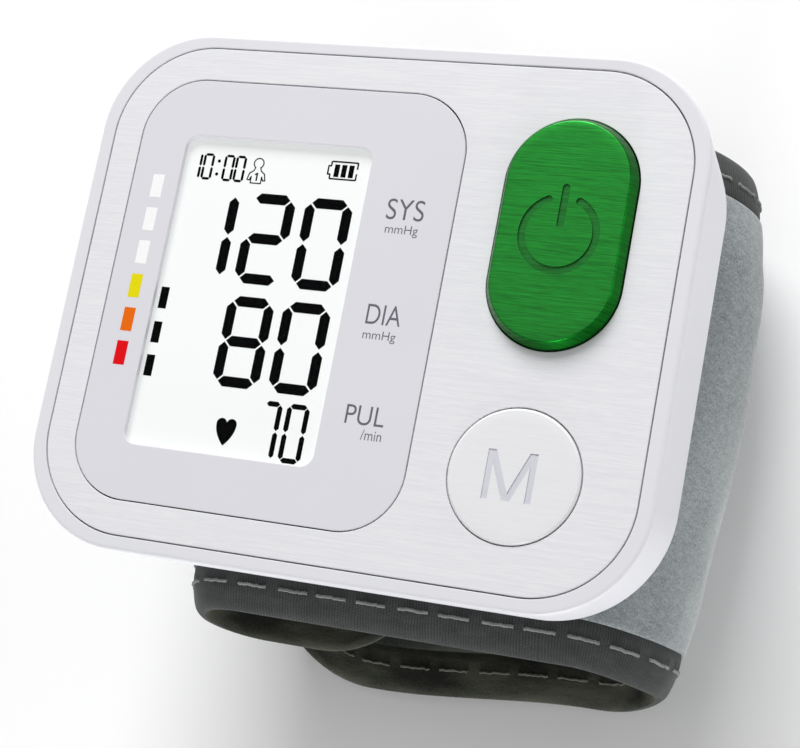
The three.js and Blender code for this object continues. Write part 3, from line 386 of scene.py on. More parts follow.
@dataclass(frozen=True)
class RibbedTape:
    """Binding tape woven with fine ribs across its length."""

    name: str
    tone: Tone
    rib: Tone
    pitch: float = 0.4
    depth: float = 0.09
    wobble: float = 0.4

    def make(self) -> Material:
        """Builds the material on the tape's own map, so that the ribs follow its length."""
        sheet = Sheet(self.name)
        parts = sheet.add("ShaderNodeSeparateXYZ", {"Vector": sheet.cloth()})
        worn = sheet.noise(sheet.stretched(sheet.cloth(), (240, 700, 1)), detail=4, rough=0.6)
        fuzz = sheet.noise(sheet.cloth(), scale=4200, detail=2)
        wobble = sheet.math("MULTIPLY", sheet.noise(sheet.cloth(), scale=500, detail=2), self.wobble * MM)
        along = sheet.math("ADD", parts.outputs["X"], wobble)
        turns = 2 * math.pi / (self.pitch * MM)
        ribs = sheet.math("SINE", sheet.math("MULTIPLY", along, turns))
        slant = sheet.math("ADD", sheet.math("MULTIPLY", along, 0.5), parts.outputs["Y"])
        yarn = sheet.math("SINE", sheet.math("MULTIPLY", slant, turns))
        height = sheet.sum((ribs, 0.13), (yarn, 0.05), (worn, 0.6), (fuzz, 0.35))
        tint = sheet.two_tone(height, 0.15, 0.8, self.tone, self.rib)
        return sheet.dress(
            Base_Color=tint, Roughness=0.85, Normal=sheet.bump(height, self.depth), Sheen_Weight=0.12,
            Specular_IOR_Level=0.25
        )


@dataclass(frozen=True)
class LiningCloth:
    """Smooth olive lining, with painted shade in its slow creases."""

    name: str
    dark: Tone
    pale: Tone

    def make(self) -> Material:
        """Builds the material on the cloth's own map."""
        sheet = Sheet(self.name)
        here = sheet.cloth()
        creases_and_shade = sheet.noise(sheet.stretched(here, (70, 160, 1)), detail=3, rough=0.55)
        weave = sheet.noise(here, scale=3000, detail=2)
        cloth = sheet.sum((creases_and_shade, 0.8), (weave, 0.2))
        # The tint darkens where the creases dip: painted shade.
        tint = sheet.two_tone(cloth, 0.38, 0.62, self.dark, self.pale)
        raised = sheet.bump(weave, 0.05, under=sheet.bump(creases_and_shade, 0.5))
        return sheet.dress(Base_Color=tint, Roughness=0.9, Normal=raised, Specular_IOR_Level=0.2)


@dataclass(frozen=True)
class Metal:
    """Plated or drawn metal with fine scratches."""

    name: str
    tone: Tone
    scratch: Tone = (120, 122, 126)
    roughness: float = 0.3

    def make(self) -> Material:
        """Builds the material."""
        sheet = Sheet(self.name)
        scratches = sheet.noise(sheet.stretched(sheet.objects(), (400, 400, 3200)), detail=3)
        share = sheet.spread(scratches, 0.35, 0.65, 0, 0.25)
        tint = sheet.mix(share, colour(*self.tone), colour(*self.scratch))
        rough = sheet.spread(scratches, *NOISE_RANGE, self.roughness - 0.08, self.roughness + 0.12)
        return sheet.dress(
            Base_Color=tint, Metallic=1.0, Roughness=rough, Normal=sheet.bump(scratches, 0.004)
        )


@dataclass(frozen=True)
class SolderMask:
    """A circuit board's green mask over faint copper tracks."""

    name: str
    mask: Tone = (22, 82, 48)
    track: Tone = (48, 122, 70)

    def make(self) -> Material:
        """Builds the material."""
        sheet = Sheet(self.name)
        inputs = {"Vector": sheet.objects(), "Scale": 420}
        cells = sheet.add("ShaderNodeTexVoronoi", inputs, distance="CHEBYCHEV", feature="F1")
        tracks = sheet.spread(cells.outputs["Distance"], 0.42, 0.5, 0, 0.7)
        tint = sheet.mix(tracks, colour(*self.mask), colour(*self.track))
        return sheet.dress(Base_Color=tint, Roughness=0.35, Normal=sheet.bump(tracks, 0.03))


@dataclass(frozen=True)
class ClearPane:
    """A thin clear cover that lets the display show through."""

    name: str
    tone: Tone = (110, 112, 113)

    def make(self) -> Material:
        """Builds the material as a faint, smooth film."""
        sheet = Sheet(self.name)
        smear = sheet.noise(sheet.objects(), scale=120, detail=2)
        rough = sheet.spread(smear, *NOISE_RANGE, 0.05, 0.12)
        return sheet.dress(Base_Color=colour(*self.tone), Roughness=rough, Alpha=0.008)


CASE_WHITE = MouldedPlastic("case_white", (228, 228, 233), roughness=0.42, grain=0.004, cloud=0.008)
PANEL_GREY = MouldedPlastic("panel_grey", (223, 222, 228), roughness=0.55, grain=0.003, cloud=0.006)
BLACK_PLASTIC = MouldedPlastic("black_plastic", (34, 35, 38), roughness=0.5, grain=0.02, cloud=0.1)
SILICONE = MouldedPlastic("silicone", (205, 203, 196), roughness=0.6, grain=0.01, cloud=0.05)
CELL_JACKET = MouldedPlastic("cell_jacket", (128, 134, 142), roughness=0.3, grain=0.004, cloud=0.08)
# The liquid crystal glass glows a little: painted light that fills the shade of the window's recess.
LCD_GLASS = MouldedPlastic("lcd_glass", (190, 193, 192), roughness=0.4, grain=0.001, cloud=0.003, painted_glow=0.46)
PLATE_FILM = BrushedFilm(
    "plate_film", (229, 229, 234), (238, 238, 240), roughness=0.48, metallic=0.03, depth=0.004, gloss=0.25
)
MEMORY_FILM = BrushedFilm(
    "memory_film", (233, 233, 235), (237, 237, 239), roughness=0.48, metallic=0.03, depth=0.002, gloss=0.25
)
GREEN_FILM = BrushedFilm(
    "green_film", (8, 88, 22), (26, 134, 42), metallic=0.9, depth=0.008, turn=2.0, gloss=0.5, coat=0.2,
    fine=1.8
)
# A darker copy of the green film for the bevel: painted shade.
GREEN_BEVEL_SHADE = BrushedFilm(
    "green_bevel_painted_shade", (2, 74, 12), (10, 112, 26), metallic=0.95, turn=2.0, gloss=0.3, fine=1.8
)
GREEN_MARK = BrushedFilm(
    "green_mark", (2, 78, 16), (18, 104, 34), roughness=0.5, metallic=0.85, depth=0.004, turn=2.0, gloss=0.3,
    coat=0.3
)
# The engraved letter is painted a darker grey than the button: painted shade in its groove.
LETTER_SHADE = MouldedPlastic("letter_painted_shade", (212, 212, 220), roughness=0.5)
VELVET = Velvet("velvet", (108, 115, 117), (174, 181, 182))
LINING = LiningCloth("lining", (40, 43, 38), (82, 86, 80))
TAPE = RibbedTape("binding_tape", (34, 36, 36), (74, 77, 76))
TAPE_INSIDE = LiningCloth("binding_inside", (34, 36, 31), (80, 82, 72))
THREAD = Ink("thread", (134, 137, 133), roughness=0.8)
# A darker copy of the thread for the rows on the wrist side: painted shade.
THREAD_SHADE = Ink("thread_painted_shade", (92, 94, 86), roughness=0.8)
HOOKS = MouldedPlastic("hooks", (40, 41, 44), roughness=0.5, grain=0.03, cloud=0.15)
STEEL = Metal("plated_steel", (196, 198, 202))
BOARD = SolderMask("solder_mask")
PANE = ClearPane("clear_pane")
SEGMENT_INK = Ink("segment_ink", (4, 4, 5), gloss=0.0)
LABEL_INK = Ink("label_ink", (106, 106, 116))


class Finishes:
    """Builds each finish once and keeps it."""

    def __init__(self) -> None:
        """Starts with none built."""
        self.made: dict[str, Material] = {}

    def get(self, finish: Finish) -> Material:
        """The material of a finish."""
        if finish.name not in self.made:
            self.made[finish.name] = finish.make()
        return self.made[finish.name]


FINISHES = Finishes()


# Meshes


def placed(name: str, data: bpy.types.ID) -> Object:
    """Puts a mesh, a text, a lamp or a camera in the scene under a name."""
    thing = bpy.data.objects.new(name, data)
    bpy.context.scene.collection.objects.link(thing)
    return thing


def link(name: str, mesh: Mesh, *finishes: Finish) -> Object:
    """Puts a mesh in the scene under a name, with its finishes in the order of its material slots."""
    piece = placed(name, mesh)
    for finish in finishes:
        piece.data.materials.append(FINISHES.get(finish))
    return piece


def stand_for(piece: Object, slot: Slot, *nodes: str) -> None:
    """Hides the CAD nodes that a piece stands for."""
    if nodes:
        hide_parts(*nodes)


def seat(piece: Object, body: Body, slot: Slot, *nodes: str) -> Object:
    """Makes a piece ride on a body, and hides the CAD nodes that it stands for."""
    stand_for(piece, slot, *nodes)
    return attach(piece, body.value)


def soften(piece: Object, angle: float = 32.0) -> Object:
    """Shades a piece smooth, with edges sharper than the angle kept."""
    piece.data.shade_smooth()
    piece.data.set_sharp_from_angle(angle=math.radians(angle))
    return piece


def to_mesh(bm: BMesh, name: str) -> Mesh:
    """Ends the building of a mesh."""
    mesh = bpy.data.meshes.new(name)
    bm.to_mesh(mesh)
    bm.free()
    return mesh


def from_bmesh(name: str, bm: BMesh, finish: Finish, angle: float = 32.0) -> Object:
    """Makes a closed form a piece.

    Args:
        name: The piece's name.
        bm: The form, which is merged, turned outwards and freed.
        finish: The piece's finish.
        angle: The edges sharper than this stay sharp.

    Returns:
        The piece.
    """
    bmesh.ops.remove_doubles(bm, verts=bm.verts, dist=SAME_PLACE)
    bmesh.ops.recalc_face_normals(bm, faces=bm.faces)
    return soften(link(name, to_mesh(bm, name), finish), angle)


def evaluated(piece: Object) -> Mesh:
    """The mesh that comes of a piece's modifiers, or of its text."""
    bpy.context.view_layer.update()
    depsgraph = bpy.context.evaluated_depsgraph_get()
    return bpy.data.meshes.new_from_object(piece.evaluated_get(depsgraph), depsgraph=depsgraph)


def baked(piece: Object) -> Object:
    """Applies a piece's modifiers to its mesh."""
    mesh = evaluated(piece)
    piece.modifiers.clear()
    piece.data = mesh
    return piece


def rounded(
    width: float, height: float, radius: float, x: float = 0.0, y: float = 0.0, steps: int = 20
) -> Outline:
    """A rounded rectangle, anticlockwise, in millimetres.

    Args:
        width: Its size along x.
        height: Its size along y.
        radius: The radius of its corners.
        x: The place of its middle.
        y: The same along y.
        steps: The stretches of each corner.

    Returns:
        Its outline.
    """
    points = []
    for quarter, (side_x, side_y) in enumerate([(1, 1), (-1, 1), (-1, -1), (1, -1)]):
        for step in range(steps + 1):
            angle = (quarter + step / steps) * QUARTER
            points.append((
                x + side_x * (width / 2 - radius) + radius * math.cos(angle),
                y + side_y * (height / 2 - radius) + radius * math.sin(angle),
            ))
    return np.array(points)


def quarter_round(radius: float, steps: int = 3) -> list[Point]:
    """A rounded edge, from its face on: how far inwards and how far down each ring of it lies."""
    angles = [step / steps * QUARTER for step in range(steps + 1)]
    return [(radius * (1 - math.sin(angle)), radius * (1 - math.cos(angle))) for angle in angles]


def ring(bm: BMesh, outline: Outline, z: float) -> Ring:
    """Adds one ring of points at a height."""
    points = np.column_stack([outline, np.full(len(outline), z)])
    return [bm.verts.new(point) for point in FACE.world(points)]


def band(bm: BMesh, first: Ring, second: Ring) -> None:
    """Joins two rings of equal count by a band of faces."""
    count = len(first)
    for i in range(count):
        j = (i + 1) % count
        bm.faces.new((first[i], first[j], second[j], second[i]))


def ring_edges(bm: BMesh, level: Ring) -> list[bmesh.types.BMEdge]:
    """The edges of one ring, once a band is joined to it."""
    return [bm.edges.get(pair) for pair in zip(level, level[1:] + level[:1])]


def loft(name: str, rings: Sequence[tuple[Outline, float]], finish: Finish, around: bool = False) -> Object:
    """A closed form through rings of equal count.

    Args:
        name: The piece's name.
        rings: Outlines with their heights, in millimetres.
        finish: The piece's finish.
        around: Joins the last ring to the first, in place of two end faces.

    Returns:
        The piece.
    """
    bm = bmesh.new()
    levels = [ring(bm, outline, z) for outline, z in rings]
    for low, high in zip(levels, levels[1:]):
        band(bm, low, high)
    if around:
        band(bm, levels[-1], levels[0])
    else:
        bm.faces.new(levels[0])
        bm.faces.new(levels[-1])
    return from_bmesh(name, bm, finish)


def prism(name: str, outline: Outline, low: float, high: float, finish: Finish) -> Object:
    """A closed form between two heights over an outline that may turn inwards.

    Args:
        name: The piece's name.
        outline: Its outline.
        low: The height of its underside.
        high: The height of its upper side.
        finish: The piece's finish.

    Returns:
        The piece.
    """
    bm = bmesh.new()
    levels = [ring(bm, outline, z) for z in (low, high)]
    band(bm, *levels)
    for level in levels:
        bmesh.ops.triangle_fill(bm, use_beauty=True, edges=ring_edges(bm, level))
    return from_bmesh(name, bm, finish)


def flat_plate(
    name: str,
    outer: OutlineAt,
    holes: Sequence[OutlineAt],
    low: float,
    high: float,
    edge: float,
    finish: Finish,
) -> Object:
    """A flat plate with holes and softened upper edges. A ring inside each edge keeps the face flat.

    Args:
        name: The piece's name.
        outer: Its outline, spread outwards by a given distance.
        holes: The same for each hole.
        low: The height of its underside.
        high: The height of its face.
        edge: How far its upper edges are rounded.
        finish: The piece's finish.

    Returns:
        The piece.
    """
    bm = bmesh.new()
    faces_up, faces_down = [], []
    for outline, side in [(outer, -1.0), *((hole, 1.0) for hole in holes)]:
        levels = [ring(bm, outline(side * (edge + SUPPORT)), high)]
        levels += [ring(bm, outline(side * inwards), high - down) for inwards, down in quarter_round(edge)]
        levels.append(ring(bm, outline(0.0), low))
        for upper, lower in zip(levels, levels[1:]):
            band(bm, upper, lower)
        faces_up += ring_edges(bm, levels[0])
        faces_down += ring_edges(bm, levels[-1])
    for edges in (faces_up, faces_down):
        bmesh.ops.triangle_fill(bm, use_beauty=True, edges=edges)
    return from_bmesh(name, bm, finish)


def flat_marks(name: str, shapes: Iterable[Outline], low: float, high: float, finish: Finish) -> Object:
    """Thin prisms over a set of convex outlines, as one piece.

    Args:
        name: The piece's name.
        shapes: The outlines.
        low: The height of their undersides.
        high: The height of their upper sides.
        finish: The piece's finish.

    Returns:
        The piece.
    """
    bm = bmesh.new()
    for shape in shapes:
        levels = [ring(bm, shape, z) for z in (low, high)]
        band(bm, *levels)
        for level in levels:
            bm.faces.new(level)
    bmesh.ops.recalc_face_normals(bm, faces=bm.faces)
    return link(name, to_mesh(bm, name), finish)


def engrave(piece: Object, cutter: Object, finish: Finish) -> Object:
    """Cuts a mark into a piece and gives the cut faces their own finish.

    Args:
        piece: The piece.
        cutter: The form to cut away, which is removed.
        finish: The finish of the cut faces.

    Returns:
        The piece.
    """
    for each in (piece, cutter):
        while len(each.data.materials) < 2:
            each.data.materials.append(FINISHES.get(finish))
    for face in cutter.data.polygons:
        face.material_index = 1
    modifier = piece.modifiers.new("engraving", "BOOLEAN")
    modifier.operation = "DIFFERENCE"
    modifier.solver = "EXACT"
    modifier.object = cutter
    baked(piece)
    bpy.data.objects.remove(cutter)
    return soften(piece)


def smooth_copy(node: str, name: str, finish: Finish, angle: float = 24.0) -> Object:
    """A copy of a solid with its loose faces merged and its curves shaded smooth."""
    bm = bmesh.new()
    bm.from_mesh(frame["nodes"][node].data)
    return from_bmesh(name, bm, finish, angle)


def stroke(points: Sequence[Point], width: float, steps: int = 8) -> list[Outline]:
    """A line of one width with round ends.

    Args:
        points: The places that it goes through.
        width: Its width.
        steps: The stretches of each round end.

    Returns:
        One convex outline for each stretch of the line.
    """
    shapes = []
    for (ax, ay), (bx, by) in zip(points, points[1:]):
        turn = math.atan2(by - ay, bx - ax)
        outline = []
        for (cx, cy), start in (((bx, by), turn - QUARTER), ((ax, ay), turn + QUARTER)):
            for step in range(steps + 1):
                angle = start + math.pi * step / steps
                outline.append((cx + width / 2 * math.cos(angle), cy + width / 2 * math.sin(angle)))
        shapes.append(np.array(outline))
    return shapes


def square_stroke(ax: float, ay: float, bx: float, by: float, width: float) -> Outline:
    """A straight line of one width with square ends."""
    length = math.hypot(bx - ax, by - ay)
    nx, ny = -(by - ay) / length * width / 2, (bx - ax) / length * width / 2
    return np.array([(ax - nx, ay - ny), (bx - nx, by - ny), (bx + nx, by + ny), (ax + nx, ay + ny)])


def upright_bar(x: float, start: float, end: float, width: float) -> Outline:
    """An upright line of one width with square ends."""
    return square_stroke(x, start, x, end, width)


def arc_points(x: float, y: float, radius: float, start: float, end: float, steps: int) -> list[Point]:
    """Points along an arc, with its ends in degrees."""
    angles = np.radians(np.linspace(start, end, steps + 1))
    return [(x + radius * math.cos(a), y + radius * math.sin(a)) for a in angles]


# Repeats


class Repeat(Nodes):
    """A geometry node tree that repeats a small form, with named inputs."""

    kinds = {float: "NodeSocketFloat", int: "NodeSocketInt"}

    def __init__(self, name: str, sizes: dict[str, float | int]) -> None:
        """Starts a tree with an input for each size, and one for the finish."""
        super().__init__(bpy.data.node_groups.new(name, "GeometryNodeTree"))
        self.sizes = sizes
        sockets = {key: self.kinds[type(value)] for key, value in sizes.items()}
        sockets = {"Geometry": "NodeSocketGeometry", **sockets, "Finish": "NodeSocketMaterial"}
        for key, kind in sockets.items():
            self.tree.interface.new_socket(key, in_out="INPUT", socket_type=kind)
        self.tree.interface.new_socket("Geometry", in_out="OUTPUT", socket_type="NodeSocketGeometry")
        self.given = self.tree.nodes.new("NodeGroupInput").outputs

    def close(self, geometry: Socket) -> None:
        """Ends the tree: makes its copies real and gives them the finish."""
        real = self.add("GeometryNodeRealizeInstances", {"Geometry": geometry}).outputs[0]
        dressed = self.add("GeometryNodeSetMaterial", {"Geometry": real, "Material": self.given["Finish"]})
        self.add("NodeGroupOutput", {"Geometry": dressed.outputs[0]})

    def spread(self, piece: Object, finish: Finish) -> Object:
        """Runs the tree on a piece.

        Args:
            piece: The piece whose points or lines carry the copies.
            finish: The copies' finish.

        Returns:
            The piece, with the plain mesh that comes of the tree.
        """
        modifier = piece.modifiers.new(self.tree.name, "NODES")
        modifier.node_group = self.tree
        values = {**self.sizes, "Finish": FINISHES.get(finish)}
        for item in self.tree.interface.items_tree:
            if item.in_out == "INPUT" and item.name in values:
                modifier[item.identifier] = values[item.name]
        return baked(piece)


# Case


@dataclass
class Case:
    """The two housings and the battery cover."""

    width: float = 82.0
    height: float = 69.0
    depth: float = 20.0
    corner: float = 13.8
    corner_growth: float = 0.12
    wall: float = 1.6
    shoulder: float = 0.5
    back_round: float = 6.5
    side_draft: float = 0.026
    end_draft: float = 0.07
    parting: float = 14.4
    lip: float = 0.4
    wall_rings: int = 8
    shoulder_rings: int = 8
    pocket_width: float = 78.26
    pocket_height: float = 65.46
    pocket_corner: float = 12.68
    pocket_depth: float = 1.15
    pocket_edge: float = 0.06
    ledge: float = 3.0
    ledge_thickness: float = 1.2
    steps: int = 24

    def inset(self, depth: float, draft: float, thickness: float) -> float:
        """How far the side stands in from its widest line at a depth."""
        left = max(0.0, self.shoulder - depth)
        shoulder = self.shoulder - math.sqrt(self.shoulder ** 2 - left ** 2)
        radius = self.back_round - thickness
        into = min(radius, max(0.0, depth - (self.depth - self.back_round)))
        under = thickness + radius - math.sqrt(radius ** 2 - into ** 2)
        return shoulder + max(0.0, depth - self.shoulder) * draft + under

    def outline(self, depth: float, thickness: float = 0.0) -> Outline:
        """The case's outline at a depth."""
        inset_x = self.inset(depth, self.side_draft, thickness)
        inset_y = self.inset(depth, self.end_draft, thickness)
        corner = self.corner + depth * self.corner_growth - min(inset_x, inset_y)
        return rounded(self.width - 2 * inset_x, self.height - 2 * inset_y, corner, steps=self.steps)

    def pocket(self, spread: float) -> Outline:
        """The pocket that the front plate lies in."""
        return rounded(
            self.pocket_width + 2 * spread, self.pocket_height + 2 * spread, self.pocket_corner + spread,
            steps=self.steps
        )

    def front(self) -> Object:
        """The front housing's rim and side wall, from its parting line up and round to its inside."""
        rings = [(self.outline(self.parting), -self.parting)]
        for depth in np.linspace(self.parting - self.lip, self.shoulder, self.wall_rings):
            rings.append((self.outline(depth), -depth))
        for depth, _ in quarter_round(self.shoulder, self.shoulder_rings)[1:]:
            rings.append((self.outline(depth), -depth))
        flat = self.shoulder + SUPPORT
        face = rounded(self.width - 2 * flat, self.height - 2 * flat, self.corner - flat, steps=self.steps)
        rings += [(face, 0), (self.pocket(self.pocket_edge + SUPPORT), 0)]
        rings += [(self.pocket(inwards), -down) for inwards, down in quarter_round(self.pocket_edge)]
        under_ledge = self.pocket_depth + self.ledge_thickness
        rings += [
            (self.pocket(0.0), -self.pocket_depth),
            (self.pocket(-self.ledge), -self.pocket_depth),
            (self.pocket(-self.ledge), -under_ledge),
            (self.outline(under_ledge, self.wall), -under_ledge),
            (self.outline(self.parting, self.wall), -self.parting),
        ]
        piece = loft("case_front", rings, CASE_WHITE, around=True)
        return seat(piece, Body.CASE, Slot.WHITE, "front_housing")

    def build(self) -> None:
        """Makes the case's pieces."""
        self.front()
        back = smooth_copy("rear_housing", "case_back", CASE_WHITE)
        seat(back, Body.CASE, Slot.WHITE, "rear_housing")
        cover = smooth_copy("battery_cover", "bay_cover", CASE_WHITE)
        seat(cover, Body.COVER, Slot.WHITE, "battery_cover")
        log.info("case: front, back and battery cover")


# Face


@dataclass
class Buttons:
    """The long power button and the round memory button, each a cap with an engraved mark."""

    power_width: float = 16.7
    power_height: float = 29.1
    power_x: float = 24.35
    power_y: float = 11.5
    power_proud: float = 1.7
    power_bevel: float = 0.68
    power_drop: float = 1.5
    power_soft: float = 0.16
    mark_y: float = 11.0
    mark_radius: float = 4.63
    mark_stroke: float = 0.94
    mark_gap: float = 25.0
    mark_bar: Point = (12.2, 16.8)
    mark_depth: float = 0.22
    memory_size: float = 16.4
    memory_x: float = 23.65
    memory_y: float = -18.6
    memory_proud: float = 0.25
    memory_bevel: float = 0.25
    memory_soft: float = 0.06
    letter_x: float = 23.22
    letter_y: float = -18.68
    letter_width: float = 6.2
    letter_height: float = 6.05
    letter_stroke: float = 0.8
    letter_depth: float = 0.12
    foot: float = -2.65
    steps: int = 28
    bevel_steps: int = 5
    end_points: int = 13
    low_turn: float = 0.3
    high_turn: tuple[Point, ...] = ((0.3, 0.42), (0.75, 0.1), (1.3, 0.0))
    face_ring: float = 1.2
    # the slopes of the faces that take the bevel's painted shade
    shaded_bevel_slope: Point = (0.2, 0.9)

    def power_outline(self, spread: float) -> Outline:
        """The power button's long round-ended outline."""
        width, height = self.power_width + 2 * spread, self.power_height + 2 * spread
        return rounded(width, height, width / 2, self.power_x, self.power_y, self.steps)

    def memory_outline(self, spread: float) -> Outline:
        """The memory button's round outline."""
        size = self.memory_size + 2 * spread
        return rounded(size, size, size / 2, self.memory_x, self.memory_y, self.steps)

    def cap_rings(
        self, outline: OutlineAt, proud: float, bevel: float, drop: float, soft: float
    ) -> list[tuple[Outline, float]]:
        """The rings of a cap: its wall, a bevel with both edges softened, and its face.

        Args:
            outline: The cap's outline, spread outwards by a given distance.
            proud: The height of its face.
            bevel: How far the bevel leads in.
            drop: How far it falls.
            soft: How far its edges are rounded.

        Returns:
            The rings from the foot up.
        """
        low, share = proud - drop, soft / math.hypot(bevel, drop)
        top = bevel * (1 - share)
        rings = [(outline(0.0), self.foot), (outline(0.0), low - soft)]
        rings.append((outline(-bevel * share * self.low_turn), low + soft * self.low_turn))
        for step in np.linspace(share, 1 - share, self.bevel_steps):
            rings.append((outline(-bevel * step), low + drop * step))
        for inwards, down in self.high_turn:
            rings.append((outline(-top - soft * inwards), proud - soft * down))
        rings.append((outline(-bevel - self.face_ring), proud))
        return rings

    def mark(self, cap: Object, outline: Outline, proud: float, depth: float, finish: Finish) -> None:
        """Engraves an outline in the face of a cap."""
        engrave(cap, prism("cutter", outline, proud - depth, proud + 1, finish), finish)

    def groove(self, path: Sequence[Point], width: float) -> Outline:
        """The outline of a line of one width with round ends.

        Args:
            path: The places that the line goes through.
            width: Its width.

        Returns:
            Its outline, along one side and back along the other.
        """
        points = np.array(path)
        ahead = np.gradient(points, axis=0)
        ahead /= np.linalg.norm(ahead, axis=1)[:, None]
        side = np.column_stack([-ahead[:, 1], ahead[:, 0]]) * width / 2
        ends = []
        for centre, (x, y) in ((points[-1], side[-1]), (points[0], -side[0])):
            turns = math.atan2(y, x) - np.linspace(0, math.pi, self.end_points)[1:-1]
            ends.append(centre + width / 2 * np.column_stack([np.cos(turns), np.sin(turns)]))
        return np.concatenate([points + side, ends[0], (points - side)[::-1], ends[1]])

    def power(self) -> Object:
        """The green button with the standby sign: a broken ring and a bar."""
        rings = self.cap_rings(
            self.power_outline, self.power_proud, self.power_bevel, self.power_drop, self.power_soft
        )
        cap = loft("power_cap", rings, GREEN_FILM)
        start, end = 90 + self.mark_gap, 450 - self.mark_gap
        sign = arc_points(self.power_x, self.mark_y, self.mark_radius, start, end, steps=40)
        bar = [(self.power_x, y) for y in self.mark_bar]
        for path in (sign, bar):
            outline = self.groove(path, self.mark_stroke)
            self.mark(cap, outline, self.power_proud, self.mark_depth, GREEN_MARK)
        # The bevel faces, picked by their slope, take the darker copy of the film: painted shade on the
        # bevel.
        cap.data.materials.append(FINISHES.get(GREEN_BEVEL_SHADE))
        steepest, flattest = self.shaded_bevel_slope
        for face in cap.data.polygons:
            if face.material_index == 0 and steepest < face.normal.z < flattest:
                face.material_index = 2
        return seat(cap, Body.POWER, Slot.GREEN, "power_button")

    def letter(self) -> Outline:
        """The outline of the letter M."""
        left, right = self.letter_x - self.letter_width / 2, self.letter_x + self.letter_width / 2
        low, high = self.letter_y - self.letter_height / 2, self.letter_y + self.letter_height / 2
        wide, middle = self.letter_stroke, self.letter_x
        tip, slant, inner = wide * 0.6, wide * 1.25, high - 2.1 * wide
        return np.array([
            (left, low), (left + wide, low), (left + wide, inner), (middle - tip, low), (middle + tip, low),
            (right - wide, inner), (right - wide, low), (right, low), (right, high), (right - slant, high),
            (middle, low + slant), (left + slant, high), (left, high),
        ])

    def memory(self) -> Object:
        """The round button with an engraved letter."""
        rings = self.cap_rings(
            self.memory_outline, self.memory_proud, self.memory_bevel, self.memory_bevel, self.memory_soft
        )
        cap = loft("memory_cap", rings, MEMORY_FILM)
        # The letter's cut faces take the darker grey: painted shade in the groove.
        self.mark(cap, self.letter(), self.memory_proud, self.letter_depth, LETTER_SHADE)
        return seat(cap, Body.MEMORY, Slot.PALE, "memory_button")

    def build(self) -> None:
        """Makes both buttons."""
        self.power()
        self.memory()
        log.info("buttons: power and memory")


@dataclass
class FrontPlate:
    """The brushed plate that covers the face, with openings for the display and the buttons."""

    width: float = 77.88
    height: float = 65.08
    corner: float = 12.49
    face: float = -0.05
    thickness: float = 0.8
    edge: float = 0.05
    groove: float = 0.18
    button_play: float = 0.2

    def outline(self, spread: float) -> Outline:
        """The plate's outline."""
        return rounded(self.width + 2 * spread, self.height + 2 * spread, self.corner + spread, steps=24)

    def build(self, display: "Display", buttons: Buttons) -> None:
        """Makes the plate round the display and the buttons."""
        holes = [
            lambda spread: display.panel(self.groove + spread),
            lambda spread: buttons.power_outline(self.button_play + spread),
            lambda spread: buttons.memory_outline(self.button_play + spread),
        ]
        low = self.face - self.thickness
        plate = flat_plate("face_plate", self.outline, holes, low, self.face, self.edge, PLATE_FILM)
        seat(plate, Body.CASE, Slot.PLATE, "front_plate")
        log.info("front plate")


LIT_SEGMENTS = {
    "0": "abcdef", "1": "bc", "2": "abged", "3": "abgcd", "4": "fgbc", "5": "afgcd", "6": "afgedc",
    "7": "abc", "8": "abcdefg", "9": "abcdfg",
}


@dataclass(frozen=True)
class FigureRow:
    """Seven-segment figures on one line, each with its left and right edge, and their heights and stroke."""

    figures: tuple[tuple[str, float, float], ...]
    low: float
    high: float
    stroke: float


@dataclass(frozen=True)
class Label:
    """A generic label on the panel, with the box that it fills."""

    name: str
    words: str
    left: float
    right: float
    low: float
    high: float


@dataclass(frozen=True)
class ScaleBars:
    """The bars of one colour on the printed scale, each with its upper and its lower end."""

    name: str
    tone: Tone
    spans: tuple[Point, ...]


